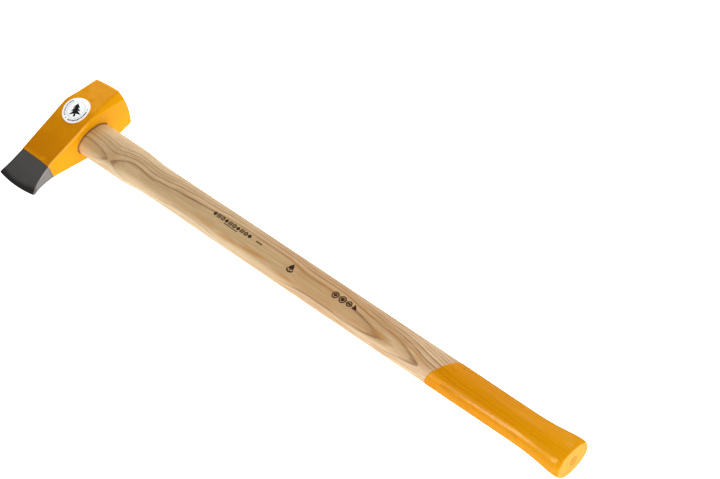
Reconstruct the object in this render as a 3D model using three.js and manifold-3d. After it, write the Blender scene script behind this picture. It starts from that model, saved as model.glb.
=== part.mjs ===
// Splitting maul: forged steel wedge head on a straight ash haft.
//
// Tool frame used for modelling (millimetres):
//   +x  along the haft, from the head towards the butt; x = 0 is the middle of the head's height
//   +y  towards the poll; the cutting edge is at -y
//   +z  out of the cheek that carries the badge
// The finished tool is then laid down the way it comes to rest on a flat surface:
// one bit cheek and the knob of the haft touch z = 0, the haft runs along +X,
// and the origin is the middle of the footprint, on that surface.

import * as THREE from 'three';
import { mergeVertices } from 'three/addons/utils/BufferGeometryUtils.js';
import Module from 'manifold-3d';

const wasm = await Module();
wasm.setup();

// ---------------------------------------------------------------- head
// height of the head along the haft, measured from x = 0: [towards the butt, towards the top]
const HEIGHT_AT_RIDGE = [27.8, 30.3];
const HEIGHT_AT_POLL = [28.2, 27.6];
const HEIGHT_AT_NECK = [26.2, 32.0];   // where the ground bit starts
const HEIGHT_AT_EDGE = [35.4, 34.0];   // corners of the flared cutting edge
const HEAD_HALF_HEIGHT = 28.0;    // nominal, over the eye
const POLL_Y = 65.0;              // flat striking face of the poll
const EDGE_Y = -120.9;            // middle of the crowned cutting edge
const EDGE_CROWN = 3.4;            // how far the edge's corners stand back from its middle
const EDGE_HALF_THICKNESS = 0.7;  // the edge is blunt
const EDGE_PLANE_HALF = 1.5;      // half thickness the two ground planes would have at the edge
const BEVEL_SLOPE = Math.tan(THREE.MathUtils.degToRad(23.5)); // short secondary bevel at the edge
const BIT_Y = -77.4;              // upper limit of the ground bit
const BIT_HALF_THICKNESS = 10.7;  // there; the ground planes are a little slimmer than the cheeks
const RIDGE_Y = 11.8;             // ridge over the eye, the thickest place
const RIDGE_HALF_THICKNESS = 34.2;
const POLL_HALF_THICKNESS = 32.4;
const RIDGE_ROUND = 3.0;          // half width of the flat that rounds the ridge off
const CHAMFER_AT_RIDGE = [1.6, 1.6];  // [along the haft, across the cheek]
const CHAMFER_AT_POLL = [8.4, 10.0];
const CHAMFER_SWELL = 2.2;            // how early the corner facet opens on the cheek
const POLL_EDGE_BREAK = 1.8;
const FLARE_START_Y = -60;
const FLARE_POWER = 1.9;

// eye, an oval that widens towards the top face so that the wedged haft can't come out
const EYE_BOTTOM = [27.55, 17.05];    // half axes at the face towards the butt
const EYE_TOP = [29.1, 18.4];         // half axes at the top face
const FIT_GAP = 0.3;                  // drawn gap between pieces that touch

// ---------------------------------------------------------------- haft
const TOTAL_LENGTH = 900;
const TENON_PROUD = 3.2;              // end grain standing above the head's top face
const HAFT_TOP_X = -HEAD_HALF_HEIGHT - TENON_PROUD;
const HAFT_END_X = HAFT_TOP_X + TOTAL_LENGTH;
const SECTION_POWER = 2.12;           // 2 is a true ellipse
// [x, half depth (y), half thickness (z)]
const HAFT_SECTIONS = [
  [28.6, 27.2, 16.75],
  [32, 27.5, 17.1],
  [62, 27.6, 17.25],
  [92, 27.5, 17.2],
  [110, 27.3, 17.15],
  [122, 26.6, 17.0],
  [134, 25.4, 16.75],
  [146, 24.5, 16.5],
  [160, 24.1, 16.4],
  [220, 24.1, 16.4],
  [300, 24.1, 16.4],
  [380, 24.0, 16.35],
  [460, 23.9, 16.3],
  [550, 23.8, 16.25],
  [640, 23.7, 16.2],
  [700, 23.4, 16.1],
  [780, 23.2, 16.0],
  [803, 23.3, 16.05],
  [814, 23.8, 16.3],
  [824, 24.5, 16.7],
  [834, 25.5, 17.3],
  [844, 26.7, 18.0],
  [854, 27.8, 18.75],
  [860, 28.1, 19.0],
  [864.4, 27.75, 18.8],
  [867.2, 26.95, 18.15],
  [HAFT_END_X, 25.9, 17.3],
];
const CENTRE_MARK_RADIUS = 3.2;       // conical pit left by the lathe centre
const CENTRE_MARK_DEPTH = 2.4;

// ---------------------------------------------------------------- wedges
const KERF_DEPTH = 40;
const WEDGE_DEPTH = 37;
const WEDGE_THICK_TOP = 6.4;
const WEDGE_THICK_TIP = 1.6;
const RING_OUTER_RADIUS = 11.5;
const RING_WALL_TOP = 2.8;
const RING_WALL_TIP = 0.8;
const RING_DEPTH = 24;

// ---------------------------------------------------------------- badge
const LABEL_CENTRE = [-2.8, 6.1];
const LABEL_RADIUS = 20.3;
const LABEL_THICKNESS = 0.5;

// ---------------------------------------------------------------- lying position
const REST_ROLL = 13.926;             // degrees about the haft
const REST_PITCH = 0.7206;            // degrees, butt end down

// ================================================================ helpers
const clamp01 = (t) => Math.min(1, Math.max(0, t));
const lerp = (a, b, t) => a + (b - a) * t;

// Closed solid through a list of closed sections with the same number of points.
// A cylinder with one row of vertices per section is reshaped onto them.
function sectionSolid(sections) {
  const n = sections[0].length;
  const rows = sections.length - 1;
  const geometry = new THREE.CylinderGeometry(1, 1, 1, n, rows);
  const position = geometry.attributes.position;
  const v = new THREE.Vector3();
  for (let i = 0; i < position.count; i++) {
    v.fromBufferAttribute(position, i);
    const row = Math.round((0.5 - v.y) * rows);
    const ring = sections[row];
    if (Math.hypot(v.x, v.z) < 1e-6) {
      const c = new THREE.Vector3();
      ring.forEach((p) => c.add(p));
      c.multiplyScalar(1 / n);
      position.setXYZ(i, c.x, c.y, c.z);
    } else {
      const k = ((Math.round(Math.atan2(v.x, v.z) / (2 * Math.PI) * n) % n) + n) % n;
      position.setXYZ(i, ring[k].x, ring[k].y, ring[k].z);
    }
  }
  return bare(geometry);
}

// Positions only, shared vertices merged, faces pointing out.
function bare(geometry) {
  let g = geometry.index ? geometry : geometry.clone();
  for (const name of Object.keys(g.attributes)) if (name !== 'position') g.deleteAttribute(name);
  g = mergeVertices(g, 1e-4);
  const p = g.attributes.position, index = g.index.array;
  let volume = 0;
  const a = new THREE.Vector3(), b = new THREE.Vector3(), c = new THREE.Vector3();
  const kept = [];
  for (let i = 0; i < index.length; i += 3) {
    if (index[i] === index[i + 1] || index[i + 1] === index[i + 2] || index[i] === index[i + 2]) continue;
    a.fromBufferAttribute(p, index[i]);
    b.fromBufferAttribute(p, index[i + 1]);
    c.fromBufferAttribute(p, index[i + 2]);
    volume += a.dot(b.clone().cross(c));
    kept.push(index[i], index[i + 1], index[i + 2]);
  }
  if (volume < 0) for (let i = 0; i < kept.length; i += 3) [kept[i], kept[i + 1]] = [kept[i + 1], kept[i]];
  g.setIndex(kept);
  return g;
}

function toSolid(geometry) {
  const g = bare(geometry);
  return new wasm.Manifold(new wasm.Mesh({
    numProp: 3,
    vertProperties: new Float32Array(g.attributes.position.array),
    triVerts: new Uint32Array(g.index.array),
  }));
}

function toGeometry(solid) {
  const mesh = solid.getMesh();
  const g = new THREE.BufferGeometry();
  const xyz = new Float32Array(mesh.numVert * 3);
  for (let i = 0; i < mesh.numVert; i++) {
    for (let k = 0; k < 3; k++) xyz[3 * i + k] = mesh.vertProperties[mesh.numProp * i + k];
  }
  g.setAttribute('position', new THREE.BufferAttribute(xyz, 3));
  g.setIndex(new THREE.BufferAttribute(new Uint32Array(mesh.triVerts), 1));
  g.computeVertexNormals();
  return g;
}

// Oval section across the haft at x, with half axes a (y) and b (z).
function oval(x, a, b, n = 40, power = SECTION_POWER) {
  const ring = [];
  for (let i = 0; i < n; i++) {
    const t = 2 * Math.PI * i / n;
    const c = Math.cos(t), s = Math.sin(t);
    ring.push(new THREE.Vector3(
      x,
      a * Math.sign(c) * Math.abs(c) ** (2 / power),
      b * Math.sign(s) * Math.abs(s) ** (2 / power)));
  }
  return ring;
}

// ================================================================ head
// Half thickness at y: ground bit, flat cheek up to the ridge, flat side of the poll.
const BIT_SLOPE = (BIT_HALF_THICKNESS - EDGE_PLANE_HALF) / (BIT_Y - EDGE_Y);
function cheekZ(y) {
  if (y < BIT_Y) return EDGE_PLANE_HALF + BIT_SLOPE * (y - EDGE_Y);
  const cheek = lerp(BIT_HALF_THICKNESS, RIDGE_HALF_THICKNESS, (y - BIT_Y) / (RIDGE_Y - BIT_Y));
  const poll = lerp(RIDGE_HALF_THICKNESS, POLL_HALF_THICKNESS, (y - RIDGE_Y) / (POLL_Y - RIDGE_Y));
  return Math.min(cheek, poll);
}
function heightFrom0(y, side) {
  const body = y > RIDGE_Y
    ? lerp(HEIGHT_AT_RIDGE[side], HEIGHT_AT_POLL[side], (y - RIDGE_Y) / (POLL_Y - RIDGE_Y))
    : lerp(HEIGHT_AT_RIDGE[side], HEIGHT_AT_NECK[side], clamp01((RIDGE_Y - y) / (RIDGE_Y - BIT_Y)));
  const flare = clamp01((FLARE_START_Y - y) / (FLARE_START_Y - EDGE_Y - EDGE_CROWN)) ** FLARE_POWER;
  return body + (HEIGHT_AT_EDGE[side] - HEIGHT_AT_NECK[side]) * flare;
}

const EDGE_MIDDLE = (HEIGHT_AT_EDGE[0] - HEIGHT_AT_EDGE[1]) / 2;
const EDGE_HALF_WIDTH = (HEIGHT_AT_EDGE[0] + HEIGHT_AT_EDGE[1]) / 2;
const crown = (x) => EDGE_CROWN * ((x - EDGE_MIDDLE) / EDGE_HALF_WIDTH) ** 2;
// where the bevel runs out into the cheek plane, measured back from the crowned edge
const bevelRun = (x) => (EDGE_PLANE_HALF + BIT_SLOPE * crown(x) - EDGE_HALF_THICKNESS) / (BEVEL_SLOPE - BIT_SLOPE);
const EDGE = 'edge', BEVEL = 'bevel';

const CHEEK_POINTS = 9;
// Section of the head: at the cutting edge, along the bevel's upper limit, or at a given y.
function headSection(where, inset = 0) {
  const yMid = where === EDGE ? EDGE_Y : where === BEVEL ? EDGE_Y + bevelRun(0) : where;
  const yAt = (x) => {
    if (where === EDGE) return EDGE_Y + crown(x);
    if (where === BEVEL) return EDGE_Y + crown(x) + bevelRun(x);
    return where + crown(x) * clamp01((BIT_Y - where) / (BIT_Y - EDGE_Y));
  };
  const zAt = (x) => (where === EDGE ? EDGE_HALF_THICKNESS : cheekZ(yAt(x))) - inset;
  const low = heightFrom0(yAt(HEIGHT_AT_EDGE[0]), 0) - inset;   // face towards the butt
  const top = -(heightFrom0(yAt(-HEIGHT_AT_EDGE[1]), 1) - inset); // top face
  const s = clamp01((yMid - RIDGE_Y) / (POLL_Y - RIDGE_Y));
  const cz = (x) => Math.min(lerp(CHAMFER_AT_RIDGE[1], CHAMFER_AT_POLL[1], s), 0.55 * zAt(x));
  const cx = (x) => (yMid < RIDGE_Y ? Math.min(CHAMFER_AT_RIDGE[0], cz(x))
    : lerp(CHAMFER_AT_RIDGE[0], CHAMFER_AT_POLL[0], 1 - (1 - s) ** CHAMFER_SWELL));
  const at = (x, z) => new THREE.Vector3(x, yAt(x), z);
  const ring = [];
  const cheek = (side) => {
    for (let i = 0; i < CHEEK_POINTS; i++) {
      const u = side > 0 ? i / (CHEEK_POINTS - 1) : 1 - i / (CHEEK_POINTS - 1);
      const x = lerp(low - cx(low), top + cx(top), u);
      ring.push(at(x, side * zAt(x)));
    }
  };
  cheek(1);
  ring.push(at(top, zAt(top) - cz(top)), at(top, -(zAt(top) - cz(top))));
  cheek(-1);
  ring.push(at(low, -(zAt(low) - cz(low))), at(low, zAt(low) - cz(low)));
  return ring;
}

const headStations = [EDGE, BEVEL, -103, -95, -87, BIT_Y, -68, FLARE_START_Y, -30, RIDGE_Y - RIDGE_ROUND, RIDGE_Y + RIDGE_ROUND, 22, 32, 46, POLL_Y - POLL_EDGE_BREAK];
const headBlank = toSolid(sectionSolid([
  ...headStations.map((y) => headSection(y)),
  headSection(POLL_Y, POLL_EDGE_BREAK),
]));
const eyeAt = (x) => {
  const t = (x + HEAD_HALF_HEIGHT) / (2 * HEAD_HALF_HEIGHT);
  return [lerp(EYE_TOP[0], EYE_BOTTOM[0], t), lerp(EYE_TOP[1], EYE_BOTTOM[1], t)];
};
const eyeCut = toSolid(sectionSolid([-HEAD_HALF_HEIGHT - 10, HEAD_HALF_HEIGHT + 10].map((x) => oval(x, ...eyeAt(x), 48))));
const headSolid = headBlank.subtract(eyeCut);

// ================================================================ haft
const tenonStations = [HAFT_TOP_X, HAFT_TOP_X + 0.9, -HEAD_HALF_HEIGHT, 0, 27.2];
const tenonHalfAxes = (x) => {
  const [a, b] = eyeAt(Math.max(x, -HEAD_HALF_HEIGHT));
  const inset = FIT_GAP + (x < HAFT_TOP_X + 0.5 ? 0.9 : 0);
  return [a - inset, b - inset];
};
const haftBlank = toSolid(sectionSolid([
  ...tenonStations.map((x) => oval(x, ...tenonHalfAxes(x))),
  ...HAFT_SECTIONS.map(([x, a, b]) => oval(x, a, b)),
]));
const tenonOnly = toSolid(sectionSolid(
  [...tenonStations.slice(0, 3), 20].map((x) => oval(x, ...tenonHalfAxes(x)))));

// A slab that tapers from the top end of the haft downwards, as a four-sided section solid.
function taperedSlab(depth, thickTop, thickTip, above = 0) {
  const slope = (thickTop - thickTip) / depth;
  const section = (x, half) => {
    const y = 40;
    return [
      new THREE.Vector3(x, y, half), new THREE.Vector3(x, -y, half),
      new THREE.Vector3(x, -y, -half), new THREE.Vector3(x, y, -half),
    ];
  };
  return toSolid(sectionSolid([
    section(HAFT_TOP_X - above, (thickTop + slope * above) / 2),
    section(HAFT_TOP_X + depth, thickTip / 2),
  ]));
}
const wedgeSlope = (WEDGE_THICK_TOP - WEDGE_THICK_TIP) / WEDGE_DEPTH;
const kerf = taperedSlab(
  KERF_DEPTH,
  WEDGE_THICK_TOP + 2 * FIT_GAP,
  WEDGE_THICK_TOP + 2 * FIT_GAP - wedgeSlope * KERF_DEPTH,
  5);
const wedgeSlab = taperedSlab(WEDGE_DEPTH, WEDGE_THICK_TOP, WEDGE_THICK_TIP, 0);

// Ring wedge: a turned ring whose wall tapers to a driving edge, and the groove it cuts.
function ringProfile(grow, above) {
  const mid = RING_OUTER_RADIUS - RING_WALL_TOP / 2;
  const top = RING_WALL_TOP / 2 + grow, tip = RING_WALL_TIP / 2 + grow;
  const points = [
    new THREE.Vector2(mid - top, above),
    new THREE.Vector2(mid - tip, -RING_DEPTH - grow),
    new THREE.Vector2(mid + tip, -RING_DEPTH - grow),
    new THREE.Vector2(mid + top, above),
    new THREE.Vector2(mid - top, above),
  ];
  const g = new THREE.LatheGeometry(points, 40);
  g.rotateZ(Math.PI / 2);            // lathe axis y becomes -x, so "down" runs into the haft
  g.translate(HAFT_TOP_X, 0, 0);
  return g;
}
const ringSolid = toSolid(ringProfile(0, 0));
const ringGroove = toSolid(ringProfile(FIT_GAP, 4));

const centreCone = new THREE.ConeGeometry(CENTRE_MARK_RADIUS * 2, CENTRE_MARK_DEPTH * 2, 24);
centreCone.rotateZ(Math.PI / 2);     // tip points into the haft
centreCone.translate(HAFT_END_X, 0, 0);
const haftSolid = haftBlank.subtract(kerf).subtract(ringGroove).subtract(toSolid(centreCone));
const wedgeSolid = tenonOnly.intersect(wedgeSlab).subtract(ringGroove);

// ================================================================ badge
// A disc of foil that follows the two cheek planes over the ridge.
function labelGeometry() {
  const rings = 6, spokes = 48;
  const g = new THREE.CylinderGeometry(LABEL_RADIUS, LABEL_RADIUS, 1, spokes, 1, false);
  // caps with inner rings, so that the disc can bend over the ridge
  const outline = [];
  for (let side = 0; side < 2; side++) {
    const order = side === 0 ? [...Array(rings + 1).keys()] : [...Array(rings + 1).keys()].reverse();
    for (const r of order) {
      const ring = [];
      for (let i = 0; i < spokes; i++) {
        const t = 2 * Math.PI * i / spokes;
        const radius = LABEL_RADIUS * Math.max(r / rings, 0.02);
        const x = LABEL_CENTRE[0] + radius * Math.cos(t);
        const y = LABEL_CENTRE[1] + radius * Math.sin(t);
        ring.push(new THREE.Vector3(x, y, labelZ(y) + (side === 0 ? 0 : LABEL_THICKNESS)));
      }
      outline.push(ring);
    }
  }
  g.dispose();
  return sectionSolid(outline);
}
function labelZ(y) {
  // straight across the narrow flat on the ridge, then along each plane
  const y0 = RIDGE_Y - RIDGE_ROUND, y1 = RIDGE_Y + RIDGE_ROUND;
  const z = y > y0 && y < y1 ? lerp(cheekZ(y0), cheekZ(y1), (y - y0) / (y1 - y0)) : cheekZ(y);
  return z + FIT_GAP + 0.12;
}

// ================================================================ the tool
const steelPaint = new THREE.MeshStandardMaterial({ color: 0xe39a12, roughness: 0.35, metalness: 0.0 });
const ash = new THREE.MeshStandardMaterial({ color: 0xcfae84, roughness: 0.55, metalness: 0.0 });
const beech = new THREE.MeshStandardMaterial({ color: 0xb88a5c, roughness: 0.65, metalness: 0.0 });
const steel = new THREE.MeshStandardMaterial({ color: 0x8c8a88, roughness: 0.4, metalness: 0.9 });
const foil = new THREE.MeshStandardMaterial({ color: 0xe9e9ea, roughness: 0.3, metalness: 0.1 });

const tool = new THREE.Group();
const add = (name, geometry, material) => {
  const mesh = new THREE.Mesh(geometry, material);
  mesh.name = name;
  tool.add(mesh);
  return mesh;
};
add('head', toGeometry(headSolid), steelPaint);
add('handle', toGeometry(haftSolid), ash);
add('wood_wedge', toGeometry(wedgeSolid), beech);
add('ring_wedge', toGeometry(ringSolid), steel);
add('label', labelGeometry(), foil);

// Lay the tool down and put the origin in the middle of its footprint.
tool.rotation.set(THREE.MathUtils.degToRad(REST_ROLL), THREE.MathUtils.degToRad(REST_PITCH), 0, 'YXZ');
tool.updateMatrixWorld(true);
const box = new THREE.Box3().setFromObject(tool, true);
tool.position.set(-(box.min.x + box.max.x) / 2, -(box.min.y + box.max.y) / 2, -box.min.z);

const maul = new THREE.Group();
maul.add(tool);
maul.updateMatrixWorld(true);

export default maul;
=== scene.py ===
import math

import bmesh
import bpy
import numpy as np
from mathutils import Matrix, Vector


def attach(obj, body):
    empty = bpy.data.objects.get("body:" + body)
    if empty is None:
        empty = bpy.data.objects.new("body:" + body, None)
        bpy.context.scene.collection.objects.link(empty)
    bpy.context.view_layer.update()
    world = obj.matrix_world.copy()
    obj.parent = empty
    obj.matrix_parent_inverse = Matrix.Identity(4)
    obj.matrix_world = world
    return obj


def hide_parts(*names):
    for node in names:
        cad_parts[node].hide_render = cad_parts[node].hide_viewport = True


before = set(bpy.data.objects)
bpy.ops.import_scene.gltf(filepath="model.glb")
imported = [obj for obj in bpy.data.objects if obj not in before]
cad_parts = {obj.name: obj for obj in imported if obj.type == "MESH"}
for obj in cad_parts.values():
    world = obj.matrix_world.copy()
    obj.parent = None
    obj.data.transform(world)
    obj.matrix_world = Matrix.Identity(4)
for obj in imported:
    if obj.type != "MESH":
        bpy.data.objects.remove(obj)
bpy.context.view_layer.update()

# ======================================================================================
# Tool frame, millimetres: +x along the haft towards the butt, +y towards the poll,
# +z out of the cheek with the badge. Everything is built there, then laid down.
# ======================================================================================
ROLL, PITCH = math.radians(13.926), math.radians(0.7206)
RX = np.array([[1, 0, 0], [0, math.cos(ROLL), -math.sin(ROLL)], [0, math.sin(ROLL), math.cos(ROLL)]])
RY = np.array([[math.cos(PITCH), 0, math.sin(PITCH)], [0, 1, 0], [-math.sin(PITCH), 0, math.cos(PITCH)]])
LAY = RY @ RX

# head, the same numbers as the CAD solid
H_RIDGE, H_POLL, H_NECK, H_EDGE = (27.8, 30.3), (28.2, 27.6), (26.2, 32.0), (35.4, 34.0)
HEAD_HALF = 28.0
POLL_Y, EDGE_Y, CROWN, EDGE_T = 65.0, -120.9, 3.4, 0.7
EDGE_PLANE, BEVEL = 1.5, math.tan(math.radians(23.5))
BIT_Y, BIT_T, RIDGE_Y, RIDGE_T, POLL_T = -77.4, 10.7, 11.8, 34.2, 32.4
FLARE_Y, FLARE_P = -60.0, 1.9
EYE_LOW, EYE_TOP = (27.55, 17.05), (29.1, 18.4)
POWER = 2.12
HAFT_TOP = -HEAD_HALF - 3.2
HAFT_END = HAFT_TOP + 900.0
SECTIONS = np.array([
    [28.6, 27.2, 16.75], [32, 27.5, 17.1], [62, 27.6, 17.25], [92, 27.5, 17.2], [110, 27.3, 17.15], [122, 26.6, 17.0],
    [134, 25.4, 16.75], [146, 24.5, 16.5], [160, 24.1, 16.4], [220, 24.1, 16.4], [300, 24.1, 16.4], [380, 24.0, 16.35],
    [460, 23.9, 16.3], [550, 23.8, 16.25], [640, 23.7, 16.2], [700, 23.4, 16.1], [780, 23.2, 16.0], [803, 23.3, 16.05],
    [814, 23.8, 16.3], [824, 24.5, 16.7], [834, 25.5, 17.3], [844, 26.7, 18.0], [854, 27.8, 18.75], [860, 28.1, 19.0],
    [864.4, 27.75, 18.8], [867.2, 26.95, 18.15], [HAFT_END, 25.9, 17.3]])
DIP_X, DIP_TILT = 666.8, 0.49        # where the painted grip begins, and how its edge slants


def cad_points(node):
    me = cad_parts[node].data
    co = np.zeros(len(me.vertices) * 3)
    me.vertices.foreach_get("co", co)
    return co.reshape(-1, 3) * 1000.0


def find_place():
    """Where the tool frame's origin lies in the row frame, from the CAD nodes themselves."""
    haft, head = cad_points("handle") @ LAY, cad_points("head") @ LAY
    local = np.array([haft[:, 0].min() - HAFT_TOP, head[:, 1].max() - POLL_Y, (head[:, 2].max() + head[:, 2].min()) / 2])
    return LAY @ local


PLACE = find_place()


def to_row(p):
    return (np.asarray(p, float) @ LAY.T + PLACE) / 1000.0


def to_tool(p):
    return (np.asarray(p, float) * 1000.0 - PLACE) @ LAY


# ======================================================================================
# small numeric helpers
# ======================================================================================
def clamp01(t):
    return np.clip(t, 0.0, 1.0)


def smooth(t):
    t = clamp01(t)
    return t * t * (3 - 2 * t)


def softmin(a, b, k):
    return -k * np.log(np.exp(-a / k) + np.exp(-b / k))


def waves(seed, count, wavelength, spread=0.5):
    """A smooth, repeatable wandering field: a sum of plane waves of about one wavelength."""
    rng = np.random.default_rng(seed)
    d = rng.normal(size=(count, 3))
    d /= np.linalg.norm(d, axis=1)[:, None]
    k = 2 * math.pi / (wavelength * (1 + spread * rng.uniform(-1, 1, count)))
    ph = rng.uniform(0, 2 * math.pi, count)

    def field(p, stretch=(1, 1, 1)):
        q = np.asarray(p, float) / np.asarray(stretch, float)
        out = np.zeros(len(q))
        for i in range(count):
            out += np.sin((q @ d[i]) * k[i] + ph[i])
        return out / math.sqrt(count)
    return field


def pchip(x, xs, ys):
    """Smooth monotone interpolation through the section table."""
    xs, ys = np.asarray(xs, float), np.asarray(ys, float)
    h = np.diff(xs)
    s = np.diff(ys) / h
    m = np.zeros(len(xs))
    for i in range(1, len(xs) - 1):
        if s[i - 1] * s[i] > 0:
            w1, w2 = 2 * h[i] + h[i - 1], h[i] + 2 * h[i - 1]
            m[i] = (w1 + w2) / (w1 / s[i - 1] + w2 / s[i])
    m[0], m[-1] = s[0], s[-1]
    x = np.asarray(x, float)
    i = np.clip(np.searchsorted(xs, x) - 1, 0, len(h) - 1)
    t = clamp01((x - xs[i]) / h[i])
    h00, h10 = 2 * t**3 - 3 * t**2 + 1, t**3 - 2 * t**2 + t
    h01, h11 = -2 * t**3 + 3 * t**2, t**3 - t**2
    return h00 * ys[i] + h10 * h[i] * m[i] + h01 * ys[i + 1] + h11 * h[i] * m[i + 1]


# ======================================================================================
# mesh helpers
# ======================================================================================
def new_mesh(name, verts, faces, mat_index=None):
    me = bpy.data.meshes.new(name)
    me.from_pydata([tuple(v) for v in verts], [], [tuple(int(i) for i in f) for f in faces])
    if mat_index is not None:
        me.polygons.foreach_set("material_index", np.asarray(mat_index, np.int32))
    me.update()
    return me


def new_object(name, me):
    ob = bpy.data.objects.new(name, me)
    bpy.context.scene.collection.objects.link(ob)
    return ob


def clean(me, dist=1e-6):
    bm = bmesh.new()
    bm.from_mesh(me)
    bmesh.ops.remove_doubles(bm, verts=bm.verts, dist=dist)
    bmesh.ops.dissolve_degenerate(bm, edges=bm.edges, dist=dist * 0.5)
    bmesh.ops.recalc_face_normals(bm, faces=bm.faces)
    bm.to_mesh(me)
    bm.free()


def ring_faces(rows, n, first=0):
    """Quads between consecutive rings of n points."""
    j, i = np.meshgrid(np.arange(rows - 1), np.arange(n), indexing="ij")
    a = first + j * n + i
    b = first + j * n + (i + 1) % n
    c = first + (j + 1) * n + (i + 1) % n
    d = first + (j + 1) * n + i
    return np.stack([a, b, c, d], -1).reshape(-1, 4)


def boolean(target, cutter, op="DIFFERENCE"):
    """Applies an exact boolean and removes the cutter."""
    m = target.modifiers.new("cut", "BOOLEAN")
    m.operation, m.solver, m.object = op, "EXACT", cutter
    dg = bpy.context.evaluated_depsgraph_get()
    me = bpy.data.meshes.new_from_object(target.evaluated_get(dg))
    target.modifiers.clear()
    old = target.data
    target.data = me
    bpy.data.meshes.remove(old)
    cm = cutter.data
    bpy.data.objects.remove(cutter)
    bpy.data.meshes.remove(cm)


def finish_mesh(ob, angle=38, extra=None):
    """Mesh coordinates are tool-frame millimetres so far: keep them as attributes, lay the piece down, shade it."""
    me = ob.data
    co = np.zeros(len(me.vertices) * 3)
    me.vertices.foreach_get("co", co)
    co = co.reshape(-1, 3)
    a = me.attributes.new("tool", "FLOAT_VECTOR", "POINT")
    a.data.foreach_set("vector", co.astype(np.float32).ravel())
    for key, fn in (extra or {}).items():
        v = np.asarray(fn(co), np.float32)
        if v.ndim == 2:
            at = me.attributes.new(key, "FLOAT_VECTOR", "POINT")
            at.data.foreach_set("vector", v.ravel())
        else:
            at = me.attributes.new(key, "FLOAT", "POINT")
            at.data.foreach_set("value", v)
    me.vertices.foreach_set("co", to_row(co).astype(np.float32).ravel())
    me.polygons.foreach_set("use_smooth", np.ones(len(me.polygons), bool))
    me.update()
    me.set_sharp_from_angle(angle=math.radians(angle))
    return ob


# ======================================================================================
# head
# ======================================================================================
def cheek_z(y):
    run = clamp01((y - EDGE_Y) / (BIT_Y - EDGE_Y))
    ground = EDGE_PLANE + (BIT_T - EDGE_PLANE) * run - 3.6 * run * (1 - run) * (1 - 0.35 * run)
    cheek = BIT_T + (RIDGE_T - BIT_T) * (y - BIT_Y) / (RIDGE_Y - BIT_Y)
    poll = RIDGE_T + (POLL_T - RIDGE_T) * (y - RIDGE_Y) / (POLL_Y - RIDGE_Y)
    body = softmin(cheek, poll, 0.9)
    return np.where(y < BIT_Y, ground, body)


def height(y, side):
    y = np.asarray(y, float)
    body = np.where(
        y > RIDGE_Y,
        H_RIDGE[side] + (H_POLL[side] - H_RIDGE[side]) * (y - RIDGE_Y) / (POLL_Y - RIDGE_Y),
        H_RIDGE[side] + (H_NECK[side] - H_RIDGE[side]) * clamp01((RIDGE_Y - y) / (RIDGE_Y - BIT_Y)))
    flare = clamp01((FLARE_Y - y) / (FLARE_Y - EDGE_Y - CROWN)) ** (2.1 if side == 0 else FLARE_P)
    return body + (H_EDGE[side] - H_NECK[side]) * flare


EDGE_MID, EDGE_HALF = (H_EDGE[0] - H_EDGE[1]) / 2, (H_EDGE[0] + H_EDGE[1]) / 2


def crown_at(x):
    return CROWN * ((x - EDGE_MID) / EDGE_HALF) ** 2


N_CHEEK, N_SIDE, N_CHAM, N_ARC = 44, 34, 7, 5
PAINT_LIP = 0.3
LEAN = 2.6


def corner_arc(p, q, r_, radius, n):
    """Points that round the corner q of the polyline p-q-r_."""
    a, b = p - q, r_ - q
    la, lb = np.linalg.norm(a), np.linalg.norm(b)
    a, b = a / la, b / lb
    ang = math.acos(max(-1, min(1, float(a @ b))))
    cut = min(radius / math.tan(ang / 2), la * 0.42, lb * 0.42)
    rad = cut * math.tan(ang / 2)
    centre = q + (a + b) / np.linalg.norm(a + b) * rad / math.sin(ang / 2)
    s, e = q + a * cut - centre, q + b * cut - centre
    t0, t1 = math.atan2(s[1], s[0]), math.atan2(e[1], e[0])
    d = (t1 - t0 + math.pi) % (2 * math.pi) - math.pi
    return [centre + rad * np.array([math.cos(t0 + d * k / (n - 1)), math.sin(t0 + d * k / (n - 1))]) for k in range(n)]


def head_ring(y, lip=0.0, t_fixed=None, inset=0.0, radius=1.5):
    """Section of the head at y in x and z: eight flats with rounded corners. Returns (n, 2)."""
    low, top = float(height(y, 0)) - lip - inset, -(float(height(y, 1)) - lip - inset)
    t = (float(cheek_z(np.array(y))) if t_fixed is None else t_fixed) - lip - inset
    s = float(clamp01((y - RIDGE_Y) / (POLL_Y - RIDGE_Y)))
    c0 = 1.2 + 0.9 * float(smooth((y - BIT_Y + 6.0) / 16.0))
    cz = min(c0 + (10.0 - c0) * s, 0.5 * t)
    k = 1 - (1 - s) ** 2.2
    cx = min(c0, cz) if y < RIDGE_Y else c0 + (8.4 - c0) * k
    cf = min(1.2, cz) if y < RIDGE_Y else 1.2 + (5.4 - 1.2) * k
    c2, z2 = cx * (1 - 0.34 * s), cz * (1 - 0.34 * s)      # the lower butt-side corner is fuller
    # towards the bit the butt-side flat leans: narrower at the badge cheek
    lean = LEAN * float(clamp01((t - 1.2) / 4.0)) * float(clamp01((-26.0 - y) / 50.0))
    P = [np.array(v) for v in (
        (low - cx - lean, t), (low - lean, t - cz), (low, -(t - z2)), (low - c2, -t),
        (top + cx, -t), (top, -(t - cz)), (top, t - cz), (top + cf, t))]
    rr = min(radius, 0.35 * t + 0.02)
    sharp = min(rr, 0.7 + 2.2 * s)
    arcs = [corner_arc(P[i - 1], P[i], P[(i + 1) % 8], sharp if i in (0, 1, 7) else rr, N_ARC) for i in range(8)]
    counts = [N_CHAM, N_SIDE, N_CHAM, N_CHEEK, N_CHAM, N_SIDE, N_CHAM, N_CHEEK]
    out = []
    for i in range(8):
        out += arcs[i]
        a, b = arcs[i][-1], arcs[(i + 1) % 8][0]
        out += [a + (b - a) * k / counts[i] for k in range(1, counts[i])]
    return np.array(out)


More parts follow.
